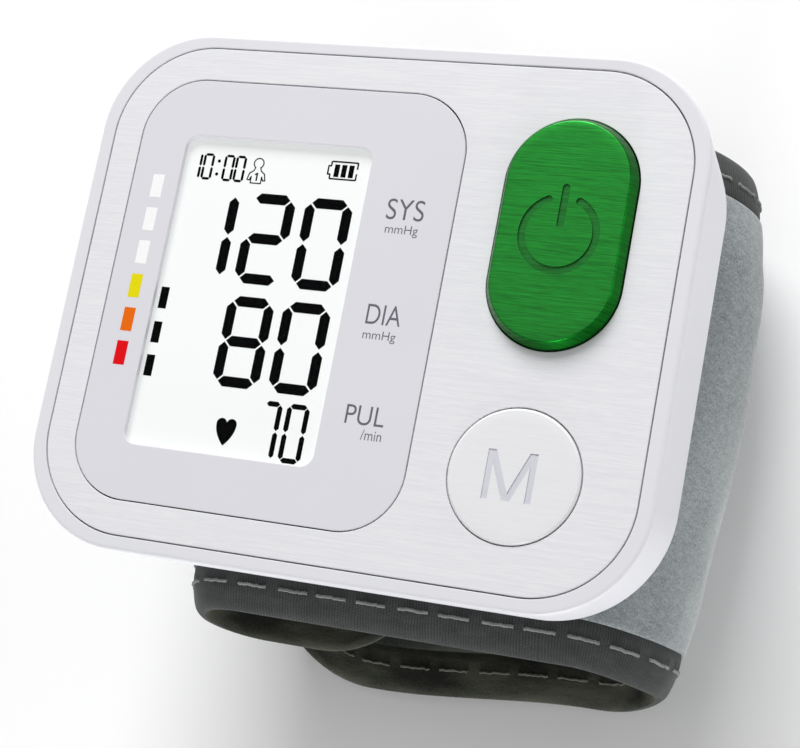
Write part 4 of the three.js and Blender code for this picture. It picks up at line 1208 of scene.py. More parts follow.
@dataclass
class Display:
    """The display panel with its printed marks, and the liquid crystal's figures behind its window."""

    width: float = 45.0
    height: float = 56.1
    corner: float = 8.0
    x: float = -12.4
    view_width: float = 26.3
    view_height: float = 41.4
    view_corner: float = 1.8
    view_x: float = -15.15
    view_y: float = -0.2
    face: float = -0.05
    thickness: float = 0.7
    edge: float = 0.05
    ink: float = 0.015
    glass: float = -1.05
    segment_low: float = -0.01
    segment_high: float = 0.03
    segment_gap: float = 0.12
    bold: float = -0.006
    figure_rows: tuple[FigureRow, ...] = (
        FigureRow((("1", -25.5, -18.98), ("2", -17.6, -11.12), ("0", -9.75, -3.25)), 1.35, 13.35, 1.35),
        FigureRow((("8", -17.65, -11.15), ("0", -9.9, -3.4)), -12.15, -0.35, 1.35),
        FigureRow((("7", -9.95, -7.3), ("0", -6.68, -3.62)), -20.75, -13.25, 0.66),
        FigureRow(
            (("1", -27.0, -25.44), ("0", -25.28, -23.74), ("0", -22.3, -20.8), ("0", -20.67, -19.16)),
            14.56, 18.15, 0.34
        ),
    )
    colon_x: float = -23.03
    colon_heights: Point = (17.2, 15.43)
    colon_size: float = 0.44
    mark_x: float = -26.75
    mark_width: float = 1.15
    mark_spans: tuple[Point, ...] = ((-0.18, -3.03), (-4.79, -7.58), (-9.19, -11.97))
    heart_x: float = -14.37
    heart_top: float = -16.1
    heart_tip: float = -19.6
    battery_left: float = -7.32
    battery_right: float = -3.72
    battery_low: float = 16.05
    battery_high: float = 18.35
    battery_line: float = 0.2
    charge_heights: Point = (16.32, 17.98)
    charge_width: float = 0.68
    charge_places: tuple[float, ...] = (-6.48, -5.5, -4.5)
    user_line: float = 0.15
    scale_x: float = -31.2
    scale_width: float = 1.6
    scale: tuple[ScaleBars, ...] = (
        ScaleBars("scale_white", (255, 255, 255), ((14.76, 11.65), (10.22, 7.1), (5.72, 2.6))),
        ScaleBars("scale_yellow", (236, 222, 0), ((1.17, -1.97),)),
        ScaleBars("scale_orange", (238, 108, 0), ((-3.35, -6.46),)),
        ScaleBars("scale_red", (228, 0, 12), ((-7.8, -10.95),)),
    )
    labels: tuple[Label, ...] = (
        Label("label_sys", "SYS", 1.26, 6.22, 11.45, 14.15),
        Label("label_sys_unit", "mmHg", 1.5, 5.84, 9.3, 10.78),
        Label("label_dia", "DIA", 1.28, 5.85, -2.1, 0.43),
        Label("label_dia_unit", "mmHg", 1.28, 5.6, -4.35, -2.92),
        Label("label_pul", "PUL", 1.1, 6.22, -14.8, -12.4),
        Label("label_pul_unit", "/min", 3.56, 6.26, -16.6, -15.3),
    )

    def panel(self, spread: float) -> Outline:
        """The panel's outline."""
        width, height = self.width + 2 * spread, self.height + 2 * spread
        return rounded(width, height, self.corner + spread, self.x, steps=20)

    def window(self, spread: float) -> Outline:
        """The opening over the liquid crystal."""
        width, height = self.view_width + 2 * spread, self.view_height + 2 * spread
        return rounded(width, height, self.view_corner + spread, self.view_x, self.view_y, steps=12)

    def behind(self, outline: Outline) -> Outline:
        """Moves figures read off the face's level to where they lie on the glass behind it."""
        share = -self.glass / CAMERA[2]
        return outline + (outline - np.array(CAMERA[:2])) * share

    def digit(self, figure: str, left: float, right: float, row: FigureRow) -> list[Outline]:
        """The segments of one seven-segment figure.

        Args:
            figure: The digit.
            left: Its left edge.
            right: Its right edge.
            row: The line that it stands on.

        Returns:
            One outline for each lit segment.
        """
        gap, half = row.stroke * self.segment_gap, row.stroke / 2
        x0, x1 = left + half, right - half
        y0, y2 = row.low + half, row.high - half
        y1 = (y0 + y2) / 2

        def across(y: float) -> Outline:
            """A level segment with pointed ends."""
            start, end = x0 + gap, x1 - gap
            return np.array([
                (start, y), (start + half, y - half), (end - half, y - half),
                (end, y), (end - half, y + half), (start + half, y + half),
            ])

        def upright(x: float, bottom: float, top: float) -> Outline:
            """An upright segment with pointed ends."""
            start, end = bottom + gap, top - gap
            return np.array([
                (x, start), (x + half, start + half), (x + half, end - half),
                (x, end), (x - half, end - half), (x - half, start + half),
            ])

        segments = {
            "a": across(y2), "g": across(y1), "d": across(y0), "b": upright(x1, y1, y2),
            "c": upright(x1, y0, y1), "f": upright(x0, y1, y2), "e": upright(x0, y0, y1),
        }
        return [segments[key] for key in LIT_SEGMENTS[figure]]

    def figures(self) -> list[Outline]:
        """The pressures, the pulse and the clock."""
        shapes: list[Outline] = []
        for row in self.figure_rows:
            for figure, left, right in row.figures:
                shapes += self.digit(figure, left, right, row)
        size = self.colon_size
        return shapes + [rounded(size, size, size / 2, self.colon_x, y, steps=4) for y in self.colon_heights]

    def half_heart(self, side: int) -> Outline:
        """One half of the heart: a round lobe, then a curve to the tip."""
        top, tip = self.heart_top, self.heart_tip
        lobe = arc_points(0.68, top - 0.72, 0.7, 160, -10, steps=10)
        start, pull, end = np.array([1.37, top - 0.9]), np.array([1.3, top - 2.2]), np.array([0.0, tip])
        curve = [(1 - t) ** 2 * start + 2 * t * (1 - t) * pull + t ** 2 * end for t in np.linspace(0, 1, 9)]
        return np.array([(0.0, top - 0.55), *lobe, *curve]) * (side, 1) + (self.heart_x, 0)

    def battery(self) -> list[Outline]:
        """The battery sign: three bars of charge in an outline that is open at its pole and its end."""
        left, right, low, high = self.battery_left, self.battery_right, self.battery_low, self.battery_high
        lines = (
            (left, low, right, low), (left, high, right, high),
            (left, low, left, low + 0.62), (left, high - 0.62, left, high),
            (left - 0.34, low + 0.55, left - 0.34, high - 0.55),
            (left - 0.4, low + 0.6, left, low + 0.6), (left - 0.4, high - 0.6, left, high - 0.6),
            (right, low, right, low + 0.85), (right, high - 0.85, right, high),
        )
        charge = [upright_bar(x, *self.charge_heights, self.charge_width) for x in self.charge_places]
        return charge + [square_stroke(*line, self.battery_line) for line in lines]

    def user(self) -> list[Outline]:
        """The user's sign: a head and shoulders with the figure 1 on them."""
        head = arc_points(-17.36, 17.3, 0.68, -60, 240, steps=14)
        body = [
            (-17.0, 16.75), (-16.85, 16.3), (-16.3, 15.9), (-16.08, 15.05), (-16.4, 15.0), (-16.62, 15.5),
            (-16.62, 14.62), (-18.08, 14.62), (-18.08, 15.5), (-18.3, 15.0), (-18.62, 15.05), (-18.42, 15.9),
            (-17.87, 16.3), (-17.72, 16.75),
        ]
        one = [square_stroke(-17.3, 14.95, -17.3, 16.0, 0.2), square_stroke(-17.3, 16.0, -17.6, 15.75, 0.18)]
        return stroke(head, self.user_line, steps=4) + stroke(body, self.user_line, steps=4) + one

    def symbols(self) -> list[Outline]:
        """The marks of the scale, the heart, the battery and the user's sign."""
        marks = [upright_bar(self.mark_x, high, low, self.mark_width) for high, low in self.mark_spans]
        heart = [self.half_heart(side) for side in (-1, 1)]
        return marks + heart + self.battery() + self.user()

    def label(self, label: Label) -> None:
        """Prints one label on the panel, fitted to its box."""
        curve = bpy.data.curves.new(label.name, "FONT")
        curve.body = label.words
        curve.size = 1.0
        curve.offset = self.bold
        curve.extrude = 0.01
        carrier = placed(label.name + "_text", curve)
        mesh = evaluated(carrier)
        bpy.data.objects.remove(carrier)
        points = np.array([vertex.co[:] for vertex in mesh.vertices])
        lowest, highest = points.min(0), points.max(0)
        low = np.array([label.left, label.low, self.face - self.ink])
        high = np.array([label.right, label.high, self.face + self.ink])
        points = (points - lowest) / (highest - lowest) * (high - low) + low
        mesh.vertices.foreach_set("co", FACE.world(points).ravel())
        mesh.name = label.name
        seat(link(label.name, mesh, LABEL_INK), Body.CASE, Slot.PANEL)

    def prints(self) -> None:
        """The coloured scale and the labels on the panel."""
        for colour_bars in self.scale:
            name, finish = colour_bars.name, Ink(colour_bars.name, colour_bars.tone)
            bars = [upright_bar(self.scale_x, low, high, self.scale_width) for high, low in colour_bars.spans]
            marks = flat_marks(name, bars, self.face - self.ink, self.face + self.ink, finish)
            seat(marks, Body.CASE, Slot.PANEL)
        for label in self.labels:
            self.label(label)

    def build(self) -> None:
        """Makes the panel, its prints and the figures."""
        low = self.face - self.thickness
        panel = flat_plate("display_panel", self.panel, [self.window], low, self.face, self.edge, PANEL_GREY)
        seat(panel, Body.CASE, Slot.PANEL, "display_window")
        shapes = [self.behind(shape) for shape in (*self.figures(), *self.symbols())]
        low, high = self.glass + self.segment_low, self.glass + self.segment_high
        seat(flat_marks("lcd_segments", shapes, low, high, SEGMENT_INK), Body.CASE, Slot.LCD)
        self.prints()
        log.info("display: panel, %d lit shapes and prints", len(shapes))


# Cuff


@dataclass(frozen=True)
class Station:
    """The strip's thickness and sideways shift at one place along it."""

    s: float
    thickness: float
    shift: float


@dataclass(frozen=True)
class CuffEnd:
    """One end of the strip: where it ends, which way the strip runs from there, and its corner."""

    name: str
    free: float
    inwards: float
    corner: float


class ClothForm:
    """A closed form of cloth in the making, with its map in metres along and across."""

    def __init__(self) -> None:
        """Starts an empty form."""
        self.bm = bmesh.new()
        self.uv = self.bm.loops.layers.uv.new("cloth")
        self.place: dict[BMVert, Point] = {}

    def vertex(self, position: Sequence[float], along: float, across: float) -> BMVert:
        """Adds a point at a place of the map, all in millimetres."""
        vertex = self.bm.verts.new(FACE.world(position))
        self.place[vertex] = (along * MM, across * MM)
        return vertex

    def piece(self, name: str, *finishes: Finish) -> Object:
        """Writes the map, turns the faces outwards and makes the form a piece."""
        for face in self.bm.faces:
            for loop in face.loops:
                loop[self.uv].uv = self.place[loop.vert]
        bmesh.ops.recalc_face_normals(self.bm, faces=self.bm.faces)
        return link(name, to_mesh(self.bm, name), *finishes)


@dataclass(frozen=True)
class Folds:
    """A set of soft folds: how close they lie along and across the strip, their seed and their height."""

    along: float
    across: float
    seed: float
    height: float

    def at(self, s: float, v: float) -> float:
        """How far the cloth is folded out at a place."""
        return noise.noise(Vector((s * self.along, v * self.across, self.seed))) * self.height


@dataclass
class Strip:
    """The shape of the one padded strip that runs round the wrist.

    A place on it is s along it from the tongue to the flap, v across it, and n out of its outer face.
    """

    half_width: float = 34.8
    tape_width: float = 5.7
    seam_gap: float = 0.3
    crown_drop: float = 1.8
    tape_drop: float = 0.4
    tip_share: float = 0.5
    tip_thickness: float = 1.6
    skin_crown: float = 0.8
    top: float = 20.3
    left_radius: float = 11.0
    left_x: float = -19.9
    right_radius: float = 15.3
    right_x: float = 26.5
    tongue_x: float = 2.0
    ramp_x: float = -6.0
    flap_x: float = -24.0
    flap_rise: float = 2.4
    join_before: float = 3.0
    normal_step: float = 0.15
    bend_reach: float = 1.25
    top_reach: float = 2.0
    lean: tuple[Point, ...] = (  # a place across, and how far the right bend leans out there
        (-34.8, -0.7), (-28.8, -0.6), (-14.0, -0.2), (-5.0, 0.35), (5.0, 0.85), (16.5, 1.2), (25.0, 0.8),
        (34.8, 0.1),
    )
    ends: tuple[CuffEnd, CuffEnd] = field(init=False)
    stations: list[Station] = field(init=False)

    def __post_init__(self) -> None:
        """Works out the strip's stations from its sizes."""
        self.left_start = self.tongue_x - self.left_x
        self.left_end = self.left_start + 2 * QUARTER * self.left_radius
        self.right_start = self.left_end + self.right_x - self.left_x
        self.split = self.right_start + QUARTER * self.right_radius
        self.right_end = self.split + QUARTER * self.right_radius
        self.ramp_start = self.right_end + self.right_x - self.ramp_x
        self.length = self.ramp_start + self.ramp_x - self.flap_x
        self.bottom = self.top + 2 * self.right_radius
        self.join = self.right_start - self.join_before
        self.pad_half = self.half_width - self.tape_width - self.seam_gap
        self.stations = [
            Station(0.0, 5.0, -5.6), Station(self.left_start, 5.5, -5.6), Station(self.left_end, 8.0, -3.1),
            Station(self.right_start, 8.0, -3.1), Station(self.split, 7.0, -4.4),
            Station(self.right_end, 6.0, -6.8), Station(self.ramp_start, 6.0, -9.2),
            Station(self.length, 5.0, -9.2),
        ]
        self.ends = (CuffEnd("upper", 0.0, 1.0, 14.0), CuffEnd("lower", self.length, -1.0, 17.0))

    @staticmethod
    def smooth(share: float) -> float:
        """An even start and stop between 0 and 1."""
        held = min(1.0, max(0.0, share))
        return held * held * (3 - 2 * held)

    def path(self, s: float) -> Point:
        """The outer face's line in the XZ plane."""
        if s < self.left_start:
            return self.tongue_x - s, -(self.top + 2 * self.left_radius)
        if s < self.left_end:
            angle = -QUARTER - (s - self.left_start) / self.left_radius
            return (self.left_x + self.left_radius * math.cos(angle),
                    -self.top - self.left_radius + self.left_radius * math.sin(angle))
        if s < self.right_start:
            return self.left_x + s - self.left_end, -self.top
        if s < self.right_end:
            angle = QUARTER - (s - self.right_start) / self.right_radius
            return (self.right_x + self.right_radius * math.cos(angle),
                    -self.top - self.right_radius + self.right_radius * math.sin(angle))
        x = self.right_x - (s - self.right_end)
        share = (self.ramp_x - x) / (self.ramp_x - self.flap_x)
        return x, -self.bottom + self.flap_rise * self.smooth(share)

    def at(self, s: float) -> Point:
        """Thickness and sideways shift at a place along the strip."""
        i = 0
        while i + 2 < len(self.stations) and s > self.stations[i + 1].s:
            i += 1
        a, b = self.stations[i], self.stations[i + 1]
        share = self.smooth((s - a.s) / (b.s - a.s))
        return a.thickness + (b.thickness - a.thickness) * share, a.shift + (b.shift - a.shift) * share

    def normal(self, s: float) -> Point:
        """The direction out of the outer face, in the XZ plane."""
        before, after = self.path(s - self.normal_step), self.path(s + self.normal_step)
        length = math.hypot(after[0] - before[0], after[1] - before[1])
        return -(after[1] - before[1]) / length, (after[0] - before[0]) / length

    def point(self, s: float, v: float, n: float) -> tuple[float, float, float]:
        """A place on the strip: along it, across it and out of its outer face."""
        x, z = self.path(s)
        nx, nz = self.normal(s)
        share = self.right_share(s)
        out = n + share * float(np.interp(v, *zip(*self.lean)))
        across = v + self.at(s)[1] + share * self.top_reach * self.smooth(v / self.half_width)
        return x + nx * out, across, z + nz * out

    def right_share(self, s: float) -> float:
        """How much a place lies in the right bend, which leans outwards at its upper side."""
        along = (s - self.right_start) / (self.right_end - self.right_start)
        return self.smooth(2 - 2 * abs(2 * along - 1))

    def bend_share(self, s: float) -> float:
        """How much a place lies in one of the two bends."""
        share = 0.0
        for low, high in ((self.left_start, self.left_end), (self.right_start, self.right_end)):
            middle, half = (low + high) / 2, (high - low) / 2
            share = max(share, self.smooth(self.bend_reach - abs(s - middle) / half))
        return share

    def tape_levels(self, s: float, edge: float) -> Point:
        """The tape's outer and inner level at a distance inside its edge."""
        thickness = self.at(s)[0]
        high = self.crown_drop + self.tape_drop
        tip = max(high, thickness * self.tip_share)
        low = thickness - self.skin_crown
        back = min(thickness, tip + self.tip_thickness)
        fade = max(0.0, 1 - edge / self.tape_width) ** 2
        return -(high + (tip - high) * fade), -(low + (back - low) * fade)

    def tape_line(self, end: CuffEnd, step: float) -> list[EdgePlace]:
        """The tape's edge from the parting, round the free end and back.

        Args:
            end: The free end.
            step: About how far its places lie apart.

        Returns:
            For each place, where it lies along and across the strip, and its direction outwards.
        """
        start = end.free + end.inwards * end.corner
        plain = list(np.linspace(start, self.join, max(2, round(abs(self.join - start) / step)) + 1))
        half, straight = self.half_width, self.half_width - end.corner
        turns = max(8, round(end.corner * QUARTER / step)) + 1

        def bend(side: float, angles: np.ndarray) -> list[EdgePlace]:
            """The edge round one corner of the end."""
            return [
                (
                    end.free + end.inwards * end.corner * (1 - math.cos(angle)),
                    side * (straight + end.corner * math.sin(angle)),
                    -end.inwards * math.cos(angle), side * math.sin(angle),
                )
                for angle in np.radians(angles)
            ]

        return [
            *((s, -half, 0.0, -1.0) for s in reversed(plain)),
            *bend(-1.0, np.linspace(90, 0, turns)[1:]),
            *((end.free, v, -end.inwards, 0.0)
              for v in np.linspace(-straight, straight, round(2 * straight / step) + 1)[1:-1]),
            *bend(1.0, np.linspace(0, 90, turns)[:-1]),
            *((s, half, 0.0, 1.0) for s in plain),
        ]


@dataclass
class Pad:
    """The velvet pad with its lining: one closed form, swollen between its sewn edges, then parted in two."""

    strip: Strip
    edge_round: float = 0.4
    skin_round: float = 0.6
    row_step: float = 1.9
    column_step: float = 2.0
    edge_columns: tuple[float, ...] = (0, 0.12, 0.4, 0.9)
    tongue_rows: int = 8
    flap_rows: int = 12
    cloth_scale: float = 10.0
    cloth_cap: float = 0.22
    cloth_fade: float = 8.0
    cloth_frames: int = 20
    held_width: float = 1.0
    fold_fade: float = 3.0
    bend_folds: Folds = Folds(0.42, 0.09, 1.7, 0.55)
    slow_folds: Folds = Folds(0.16, 0.13, 5.1, 0.3)
    case_half: float = 38.0
    floor: float = -50.4
    clear: float = 0.02
    cloth: dict[str, Any] = field(default_factory=lambda: {
        "vertex_group_mass": "seam", "quality": 6, "tension_stiffness": 12, "compression_stiffness": 12,
        "shear_stiffness": 6, "bending_stiffness": 0.6, "shrink_min": -0.02, "use_pressure": True,
        "uniform_pressure_force": 4,
    })

    def past_seam(self, s: float, end: CuffEnd) -> float:
        """How far a place lies past the seam at an end."""
        return abs(s - end.free) - self.strip.tape_width - self.strip.seam_gap

    def corner(self, end: CuffEnd) -> float:
        """The radius of the pad's corners at an end."""
        return end.corner - self.strip.tape_width - self.strip.seam_gap

    def border(self, s: float, v: float) -> float:
        """How far a place on the pad lies inside its edge."""
        inside = self.strip.pad_half - abs(v)
        for end in self.strip.ends:
            along, corner = self.past_seam(s, end), self.corner(end)
            if along < corner:
                across = abs(v) - (self.strip.pad_half - corner)
                inside = min(inside, corner - math.hypot(corner - along, across) if across > 0 else along)
        return max(0.0, inside)

    def half_at(self, s: float) -> float:
        """Half the pad's width at a place, drawn in where an end is rounded."""
        half = self.strip.pad_half
        for end in self.strip.ends:
            corner = self.corner(end)
            into = min(corner, max(0.0, corner - self.past_seam(s, end)))
            half = min(half, self.strip.pad_half - corner + math.sqrt(max(0.0, corner ** 2 - into ** 2)))
        return half

    @staticmethod
    def rolled(inside: float, radius: float) -> float:
        """How far a rounded edge has dropped at a distance inside it."""
        left = max(0.0, radius - inside)
        return radius - math.sqrt(max(0.0, radius ** 2 - left ** 2))

    def levels(self, s: float, v: float) -> Point:
        """The pad's outer and inner level at a place."""
        share, inside = (v / self.strip.pad_half) ** 2, self.border(s, v)
        outer = -self.strip.crown_drop * share - self.rolled(inside, self.edge_round)
        inner = -self.strip.at(s)[0] + self.strip.skin_crown * share + self.rolled(inside, self.skin_round)
        return outer, inner

    def rows(self) -> list[float]:
        """The places of the pad's rows, closer together at its rounded ends."""
        first = self.strip.tape_width + self.strip.seam_gap
        last = self.strip.length - first
        tongue, flap = (end.corner - first for end in self.strip.ends)
        start = [first + tongue * (1 - math.cos(a)) for a in np.linspace(0, QUARTER, self.tongue_rows)]
        end = [last - flap * (1 - math.cos(a)) for a in np.linspace(0, QUARTER, self.flap_rows)]
        middle = []
        for low, high in ((start[-1], self.strip.join), (self.strip.join, end[-1])):
            count = max(1, round((high - low) / self.row_step))
            middle += list(np.linspace(low, high, count + 1))[1:]
        return start + middle[:-1] + end[::-1]

    def columns(self) -> list[float]:
        """Shares across the pad, closer together at its edges."""
        near = [1.0 - inside / self.strip.pad_half for inside in self.edge_columns]
        count = round(2 * near[-1] * self.strip.pad_half / self.column_step)
        middle = list(np.linspace(-near[-1], near[-1], count + 1))
        return [-share for share in near[:-1]] + middle + near[:-1][::-1]

    def form(self) -> Object:
        """The whole padded strip as one closed form, its lining in the second finish."""
        cloth = ClothForm()
        outer: list[Ring] = []
        inner: list[Ring] = []
        for s in self.rows():
            lines: tuple[Ring, Ring] = ([], [])
            for share in self.columns():
                v = share * self.half_at(s)
                for line, level in zip(lines, self.levels(s, v)):
                    line.append(cloth.vertex(self.strip.point(s, v, level), s, v))
            outer.append(lines[0])
            inner.append(lines[1])
        quad = cloth.bm.faces.new
        for out, out_next, skin, skin_next in zip(outer, outer[1:], inner, inner[1:]):
            for j in range(len(out) - 1):
                quad((out[j], out_next[j], out_next[j + 1], out[j + 1]))
                quad((skin[j], skin[j + 1], skin_next[j + 1], skin_next[j])).material_index = 1
            quad((out[0], skin[0], skin_next[0], out_next[0]))
            quad((out[-1], out_next[-1], skin_next[-1], skin[-1]))
        for j in range(len(outer[0]) - 1):
            quad((outer[0][j], outer[0][j + 1], inner[0][j + 1], inner[0][j]))
            quad((outer[-1][j], inner[-1][j], inner[-1][j + 1], outer[-1][j + 1]))
        return cloth.piece("cuff_pad", VELVET, LINING)

    @staticmethod
    def places(pad: Object) -> np.ndarray:
        """Where each point of the pad lies along and across the strip, read from its map."""
        uv = pad.data.uv_layers["cloth"].data
        places = np.zeros((len(pad.data.vertices), 2))
        for loop in pad.data.loops:
            places[loop.vertex_index] = uv[loop.index].uv
        return places / MM

    def inflate(self, pad: Object) -> None:
        """Swells the pad between its sewn edges with the cloth solver.

        The strip is small for the solver, so it is simulated ten times as large. Points near the seams are
        held, and the others move no further than the cap.

        Args:
            pad: The pad, which keeps its faces and its map.
        """
        rest = np.array([vertex.co[:] for vertex in pad.data.vertices])
        border = np.array([self.border(s, v) for s, v in self.places(pad)])
        pad.data.vertices.foreach_set("co", (rest * self.cloth_scale).ravel())
        pad.data.update()
        held = np.flatnonzero(border < self.held_width).tolist()
        pad.vertex_groups.new(name="seam").add(held, 1.0, "REPLACE")
        solver = pad.modifiers.new("cloth", "CLOTH")
        for name, value in self.cloth.items():
            setattr(solver.settings, name, value)
        solver.settings.effector_weights.gravity = 0
        solver.collision_settings.use_collision = False
        solver.point_cache.frame_start, solver.point_cache.frame_end = 1, self.cloth_frames
        scene = bpy.context.scene
        for step in range(1, self.cloth_frames + 1):
            scene.frame_set(step)
        depsgraph = bpy.context.evaluated_depsgraph_get()
        shaped = np.array([v.co[:] for v in pad.evaluated_get(depsgraph).data.vertices]) / self.cloth_scale
        pad.modifiers.clear()
        pad.vertex_groups.clear()
        scene.frame_set(1)
        moved = shaped - rest
        far = np.linalg.norm(moved, axis=1)[:, None]
        cap = self.cloth_cap * MM * np.minimum(1.0, border / self.cloth_fade)[:, None]
        moved *= np.minimum(1.0, cap / np.maximum(far, 1e-12))
        log.info("cuff: cloth moved points by up to %.2f mm", far.max() / MM)
        pad.data.vertices.foreach_set("co", (rest + moved).ravel())
        pad.data.update()

    def settle(self, pad: Object) -> None:
        """Adds soft folds inside the bends, and keeps the pad clear of the case, the floor and the closing.

        Args:
            pad: The pad, whose points are moved.
        """
        strip = self.strip
        origin = np.asarray(FACE.origin) / MM
        inner = {i for face in pad.data.polygons if face.material_index == 1 for i in face.vertices}
        for vertex, (s, v) in zip(pad.data.vertices, self.places(pad)):
            x, y, z = np.array(vertex.co) / MM - origin
            on_skin = vertex.index in inner
            if on_skin:
                nx, nz = strip.normal(s)
                inside = min(1.0, self.border(s, v) / self.fold_fade)
                fold = self.bend_folds.at(s, v) * strip.bend_share(s) + self.slow_folds.at(s, v)
                x, z = x + nx * fold * inside, z + nz * fold * inside
            elif strip.left_end < s < strip.right_start and abs(x) < self.case_half:
                z = min(z, -strip.top - self.clear)
            z = max(z, self.floor + self.clear)
            if s < strip.left_start and not on_skin:
                z = max(z, -strip.top - 2 * strip.left_radius)
            if s > strip.ramp_start and on_skin:
                z = min(z, strip.point(s, v, self.levels(s, v)[1])[2])
            vertex.co = FACE.world((x, y, z))
        pad.data.update()

    def parted(self, pad: Object) -> tuple[Object, Object]:
        """Parts the strip across its flat upper run, under the case, into two closed pieces.

        Args:
            pad: The whole pad, which is removed.

        Returns:
            The upper piece and the lower one.
        """
        uv = pad.data.uv_layers["cloth"].data
        centres = [
            sum(uv[i].uv[0] for i in face.loop_indices) / len(face.loop_indices) for face in pad.data.polygons
        ]
        pieces = []
        for name, keep_low in (("cuff_pad_upper", True), ("cuff_pad_lower", False)):
            bm = bmesh.new()
            bm.from_mesh(pad.data)
            bm.faces.ensure_lookup_table()
            away = [bm.faces[i] for i, s in enumerate(centres) if (s < self.strip.join * MM) != keep_low]
            bmesh.ops.delete(bm, geom=away, context="FACES")
            bmesh.ops.holes_fill(bm, edges=[edge for edge in bm.edges if edge.is_boundary], sides=0)
            pieces.append(soften(link(name, to_mesh(bm, name), VELVET, LINING), angle=62))
        bpy.data.objects.remove(pad)
        return pieces[0], pieces[1]

    def make(self) -> tuple[Object, Object]:
        """Makes the pad and parts it into its upper and its lower piece."""
        pad = self.form()
        self.inflate(pad)
        self.settle(pad)
        modifier = pad.modifiers.new("finer", "SUBSURF")
        modifier.levels = modifier.render_levels = 1
        return self.parted(baked(pad))


@dataclass
class Tape:
    """The edge tape, folded over the pad's edge on both faces."""

    strip: Strip
    step: float = 1.1
    under: float = 1.2
    tuck: float = 0.35
    fold: float = 1.0
    middle: float = 2.0
    places: tuple[float, ...] = (4.9, 4.0, 3.0, 2.1, 1.3, 0.7, 0.3, 0.1)

    def level(self, s: float, edge: float, side: int) -> float:
        """The tape's level at a distance inside its edge: round at its fold, and tucked in at its seam."""
        sign = -1.0 if side else 1.0
        both = self.strip.tape_levels(s, edge)
        level = both[side]
        if edge < self.fold:
            middle, half = sum(both) / 2, (both[0] - both[1]) / 2
            level = middle + sign * half * math.sqrt(max(0.0, 1 - (1 - edge / self.fold) ** 2))
        if edge > self.strip.tape_width:
            level -= sign * self.tuck
        return level

    def make(self, end: CuffEnd) -> Object:
        """Makes the tape round one end.

        Args:
            end: The end that it runs round.

        Returns:
            The tape, its inner side in the second finish.
        """
        strip, cloth = self.strip, ClothForm()
        edges = [strip.tape_width + self.under, strip.tape_width, *self.places]
        section = [(edge, 0) for edge in edges] + [(edge, 1) for edge in reversed(edges)]
        rings: list[Ring] = []
        run, last = 0.0, None
        for s, v, out_s, out_v in strip.tape_line(end, self.step):
            centre = np.array(strip.point(s - out_s * self.middle, v - out_v * self.middle, -self.middle))
            run += 0.0 if last is None else float(np.linalg.norm(centre - last))
            last = centre
            rings.append([])
            for edge, side in section:
                in_s, in_v = s - out_s * edge, v - out_v * edge
                position = strip.point(in_s, in_v, self.level(in_s, edge, side))
                rings[-1].append(cloth.vertex(position, run, -edge if side else edge))
        for first, second in zip(rings, rings[1:]):
            band(cloth.bm, first, second)
        for cut in (rings[0], rings[-1]):
            cloth.bm.faces.new(cut)
        for face in cloth.bm.faces:
            face.material_index = int(all(cloth.place[vertex][1] < 0 for vertex in face.verts))
        return soften(cloth.piece(f"binding_{end.name}", TAPE, TAPE_INSIDE), angle=50)


@dataclass
class Stitches:
    """Dashed rows of thread that follow the tape on its outer and its inner face."""

    strip: Strip
    inset: float = 3.7
    pitch: float = 5.75
    length: float = 4.55
    width: float = 0.44
    lift: float = 0.04
    step: float = 0.35
    waver: float = 0.08
    sides: int = 6
    seed: int = 7

    def __post_init__(self) -> None:
        """Builds the nodes that cut a row into stitches and give them their thickness."""
        self.repeat = tree = Repeat("stitch_row", {
            "Pitch": self.pitch * MM, "Length": self.length * MM, "Radius": self.width / 2 * MM,
            "Waver": self.waver * MM, "Seed": self.seed,
        })
        given = tree.given
        along = tree.add("GeometryNodeInputNamedAttribute", {"Name": "along"}, data_type="FLOAT")
        phase = tree.math("MODULO", along.outputs["Attribute"], given["Pitch"])
        gap = tree.add("FunctionNodeCompare", {"A": phase, "B": given["Length"]}, operation="GREATER_THAN")
        kept = tree.add("GeometryNodeDeleteGeometry", {0: given["Geometry"], 1: gap.outputs[0]})
        inputs = {0: (-1, -1, -1), 1: (1, 1, 1), "Seed": given["Seed"]}
        random = tree.add("FunctionNodeRandomValue", inputs, data_type="FLOAT_VECTOR").outputs[0]
        shift = tree.add("ShaderNodeVectorMath", {0: random, "Scale": given["Waver"]}, operation="SCALE")
        wavy = tree.add("GeometryNodeSetPosition", {"Geometry": kept.outputs[0], "Offset": shift.outputs[0]})
        curve = tree.add("GeometryNodeMeshToCurve", {0: wavy.outputs[0]}).outputs[0]
        inputs = {"Resolution": self.sides, "Radius": given["Radius"]}
        profile = tree.add("GeometryNodeCurvePrimitiveCircle", inputs).outputs[0]
        inputs = {"Curve": curve, "Profile Curve": profile, "Fill Caps": True}
        tree.close(tree.add("GeometryNodeCurveToMesh", inputs).outputs[0])

    def sew(self, end: CuffEnd, side: int) -> Object:
        """Sews one row round one end's tape.

        Args:
            end: The end whose tape is sewn.
            side: 0 for the outer face, and 1 for the one on the wrist.

        Returns:
            The row's thread.
        """
        bm = bmesh.new()
        along = bm.verts.layers.float.new("along")
        lift = -self.lift if side else self.lift
        last = None
        for s, v, out_s, out_v in self.strip.tape_line(end, self.step):
            in_s, in_v = s - out_s * self.inset, v - out_v * self.inset
            level = self.strip.tape_levels(in_s, self.inset)[side] + lift
            vertex = bm.verts.new(FACE.world(self.strip.point(in_s, in_v, level)))
            if last is None:
                vertex[along] = self.length / 2 * MM
            else:
                bm.edges.new((last, vertex))
                vertex[along] = last[along] + (vertex.co - last.co).length
            last = vertex
        name = f"stitches_{end.name}_{'inside' if side else 'outside'}"
        # The rows on the wrist side take the darker thread: painted shade.
        finish = THREAD_SHADE if side else THREAD
        return soften(self.repeat.spread(link(name, to_mesh(bm, name), finish), finish), angle=60)


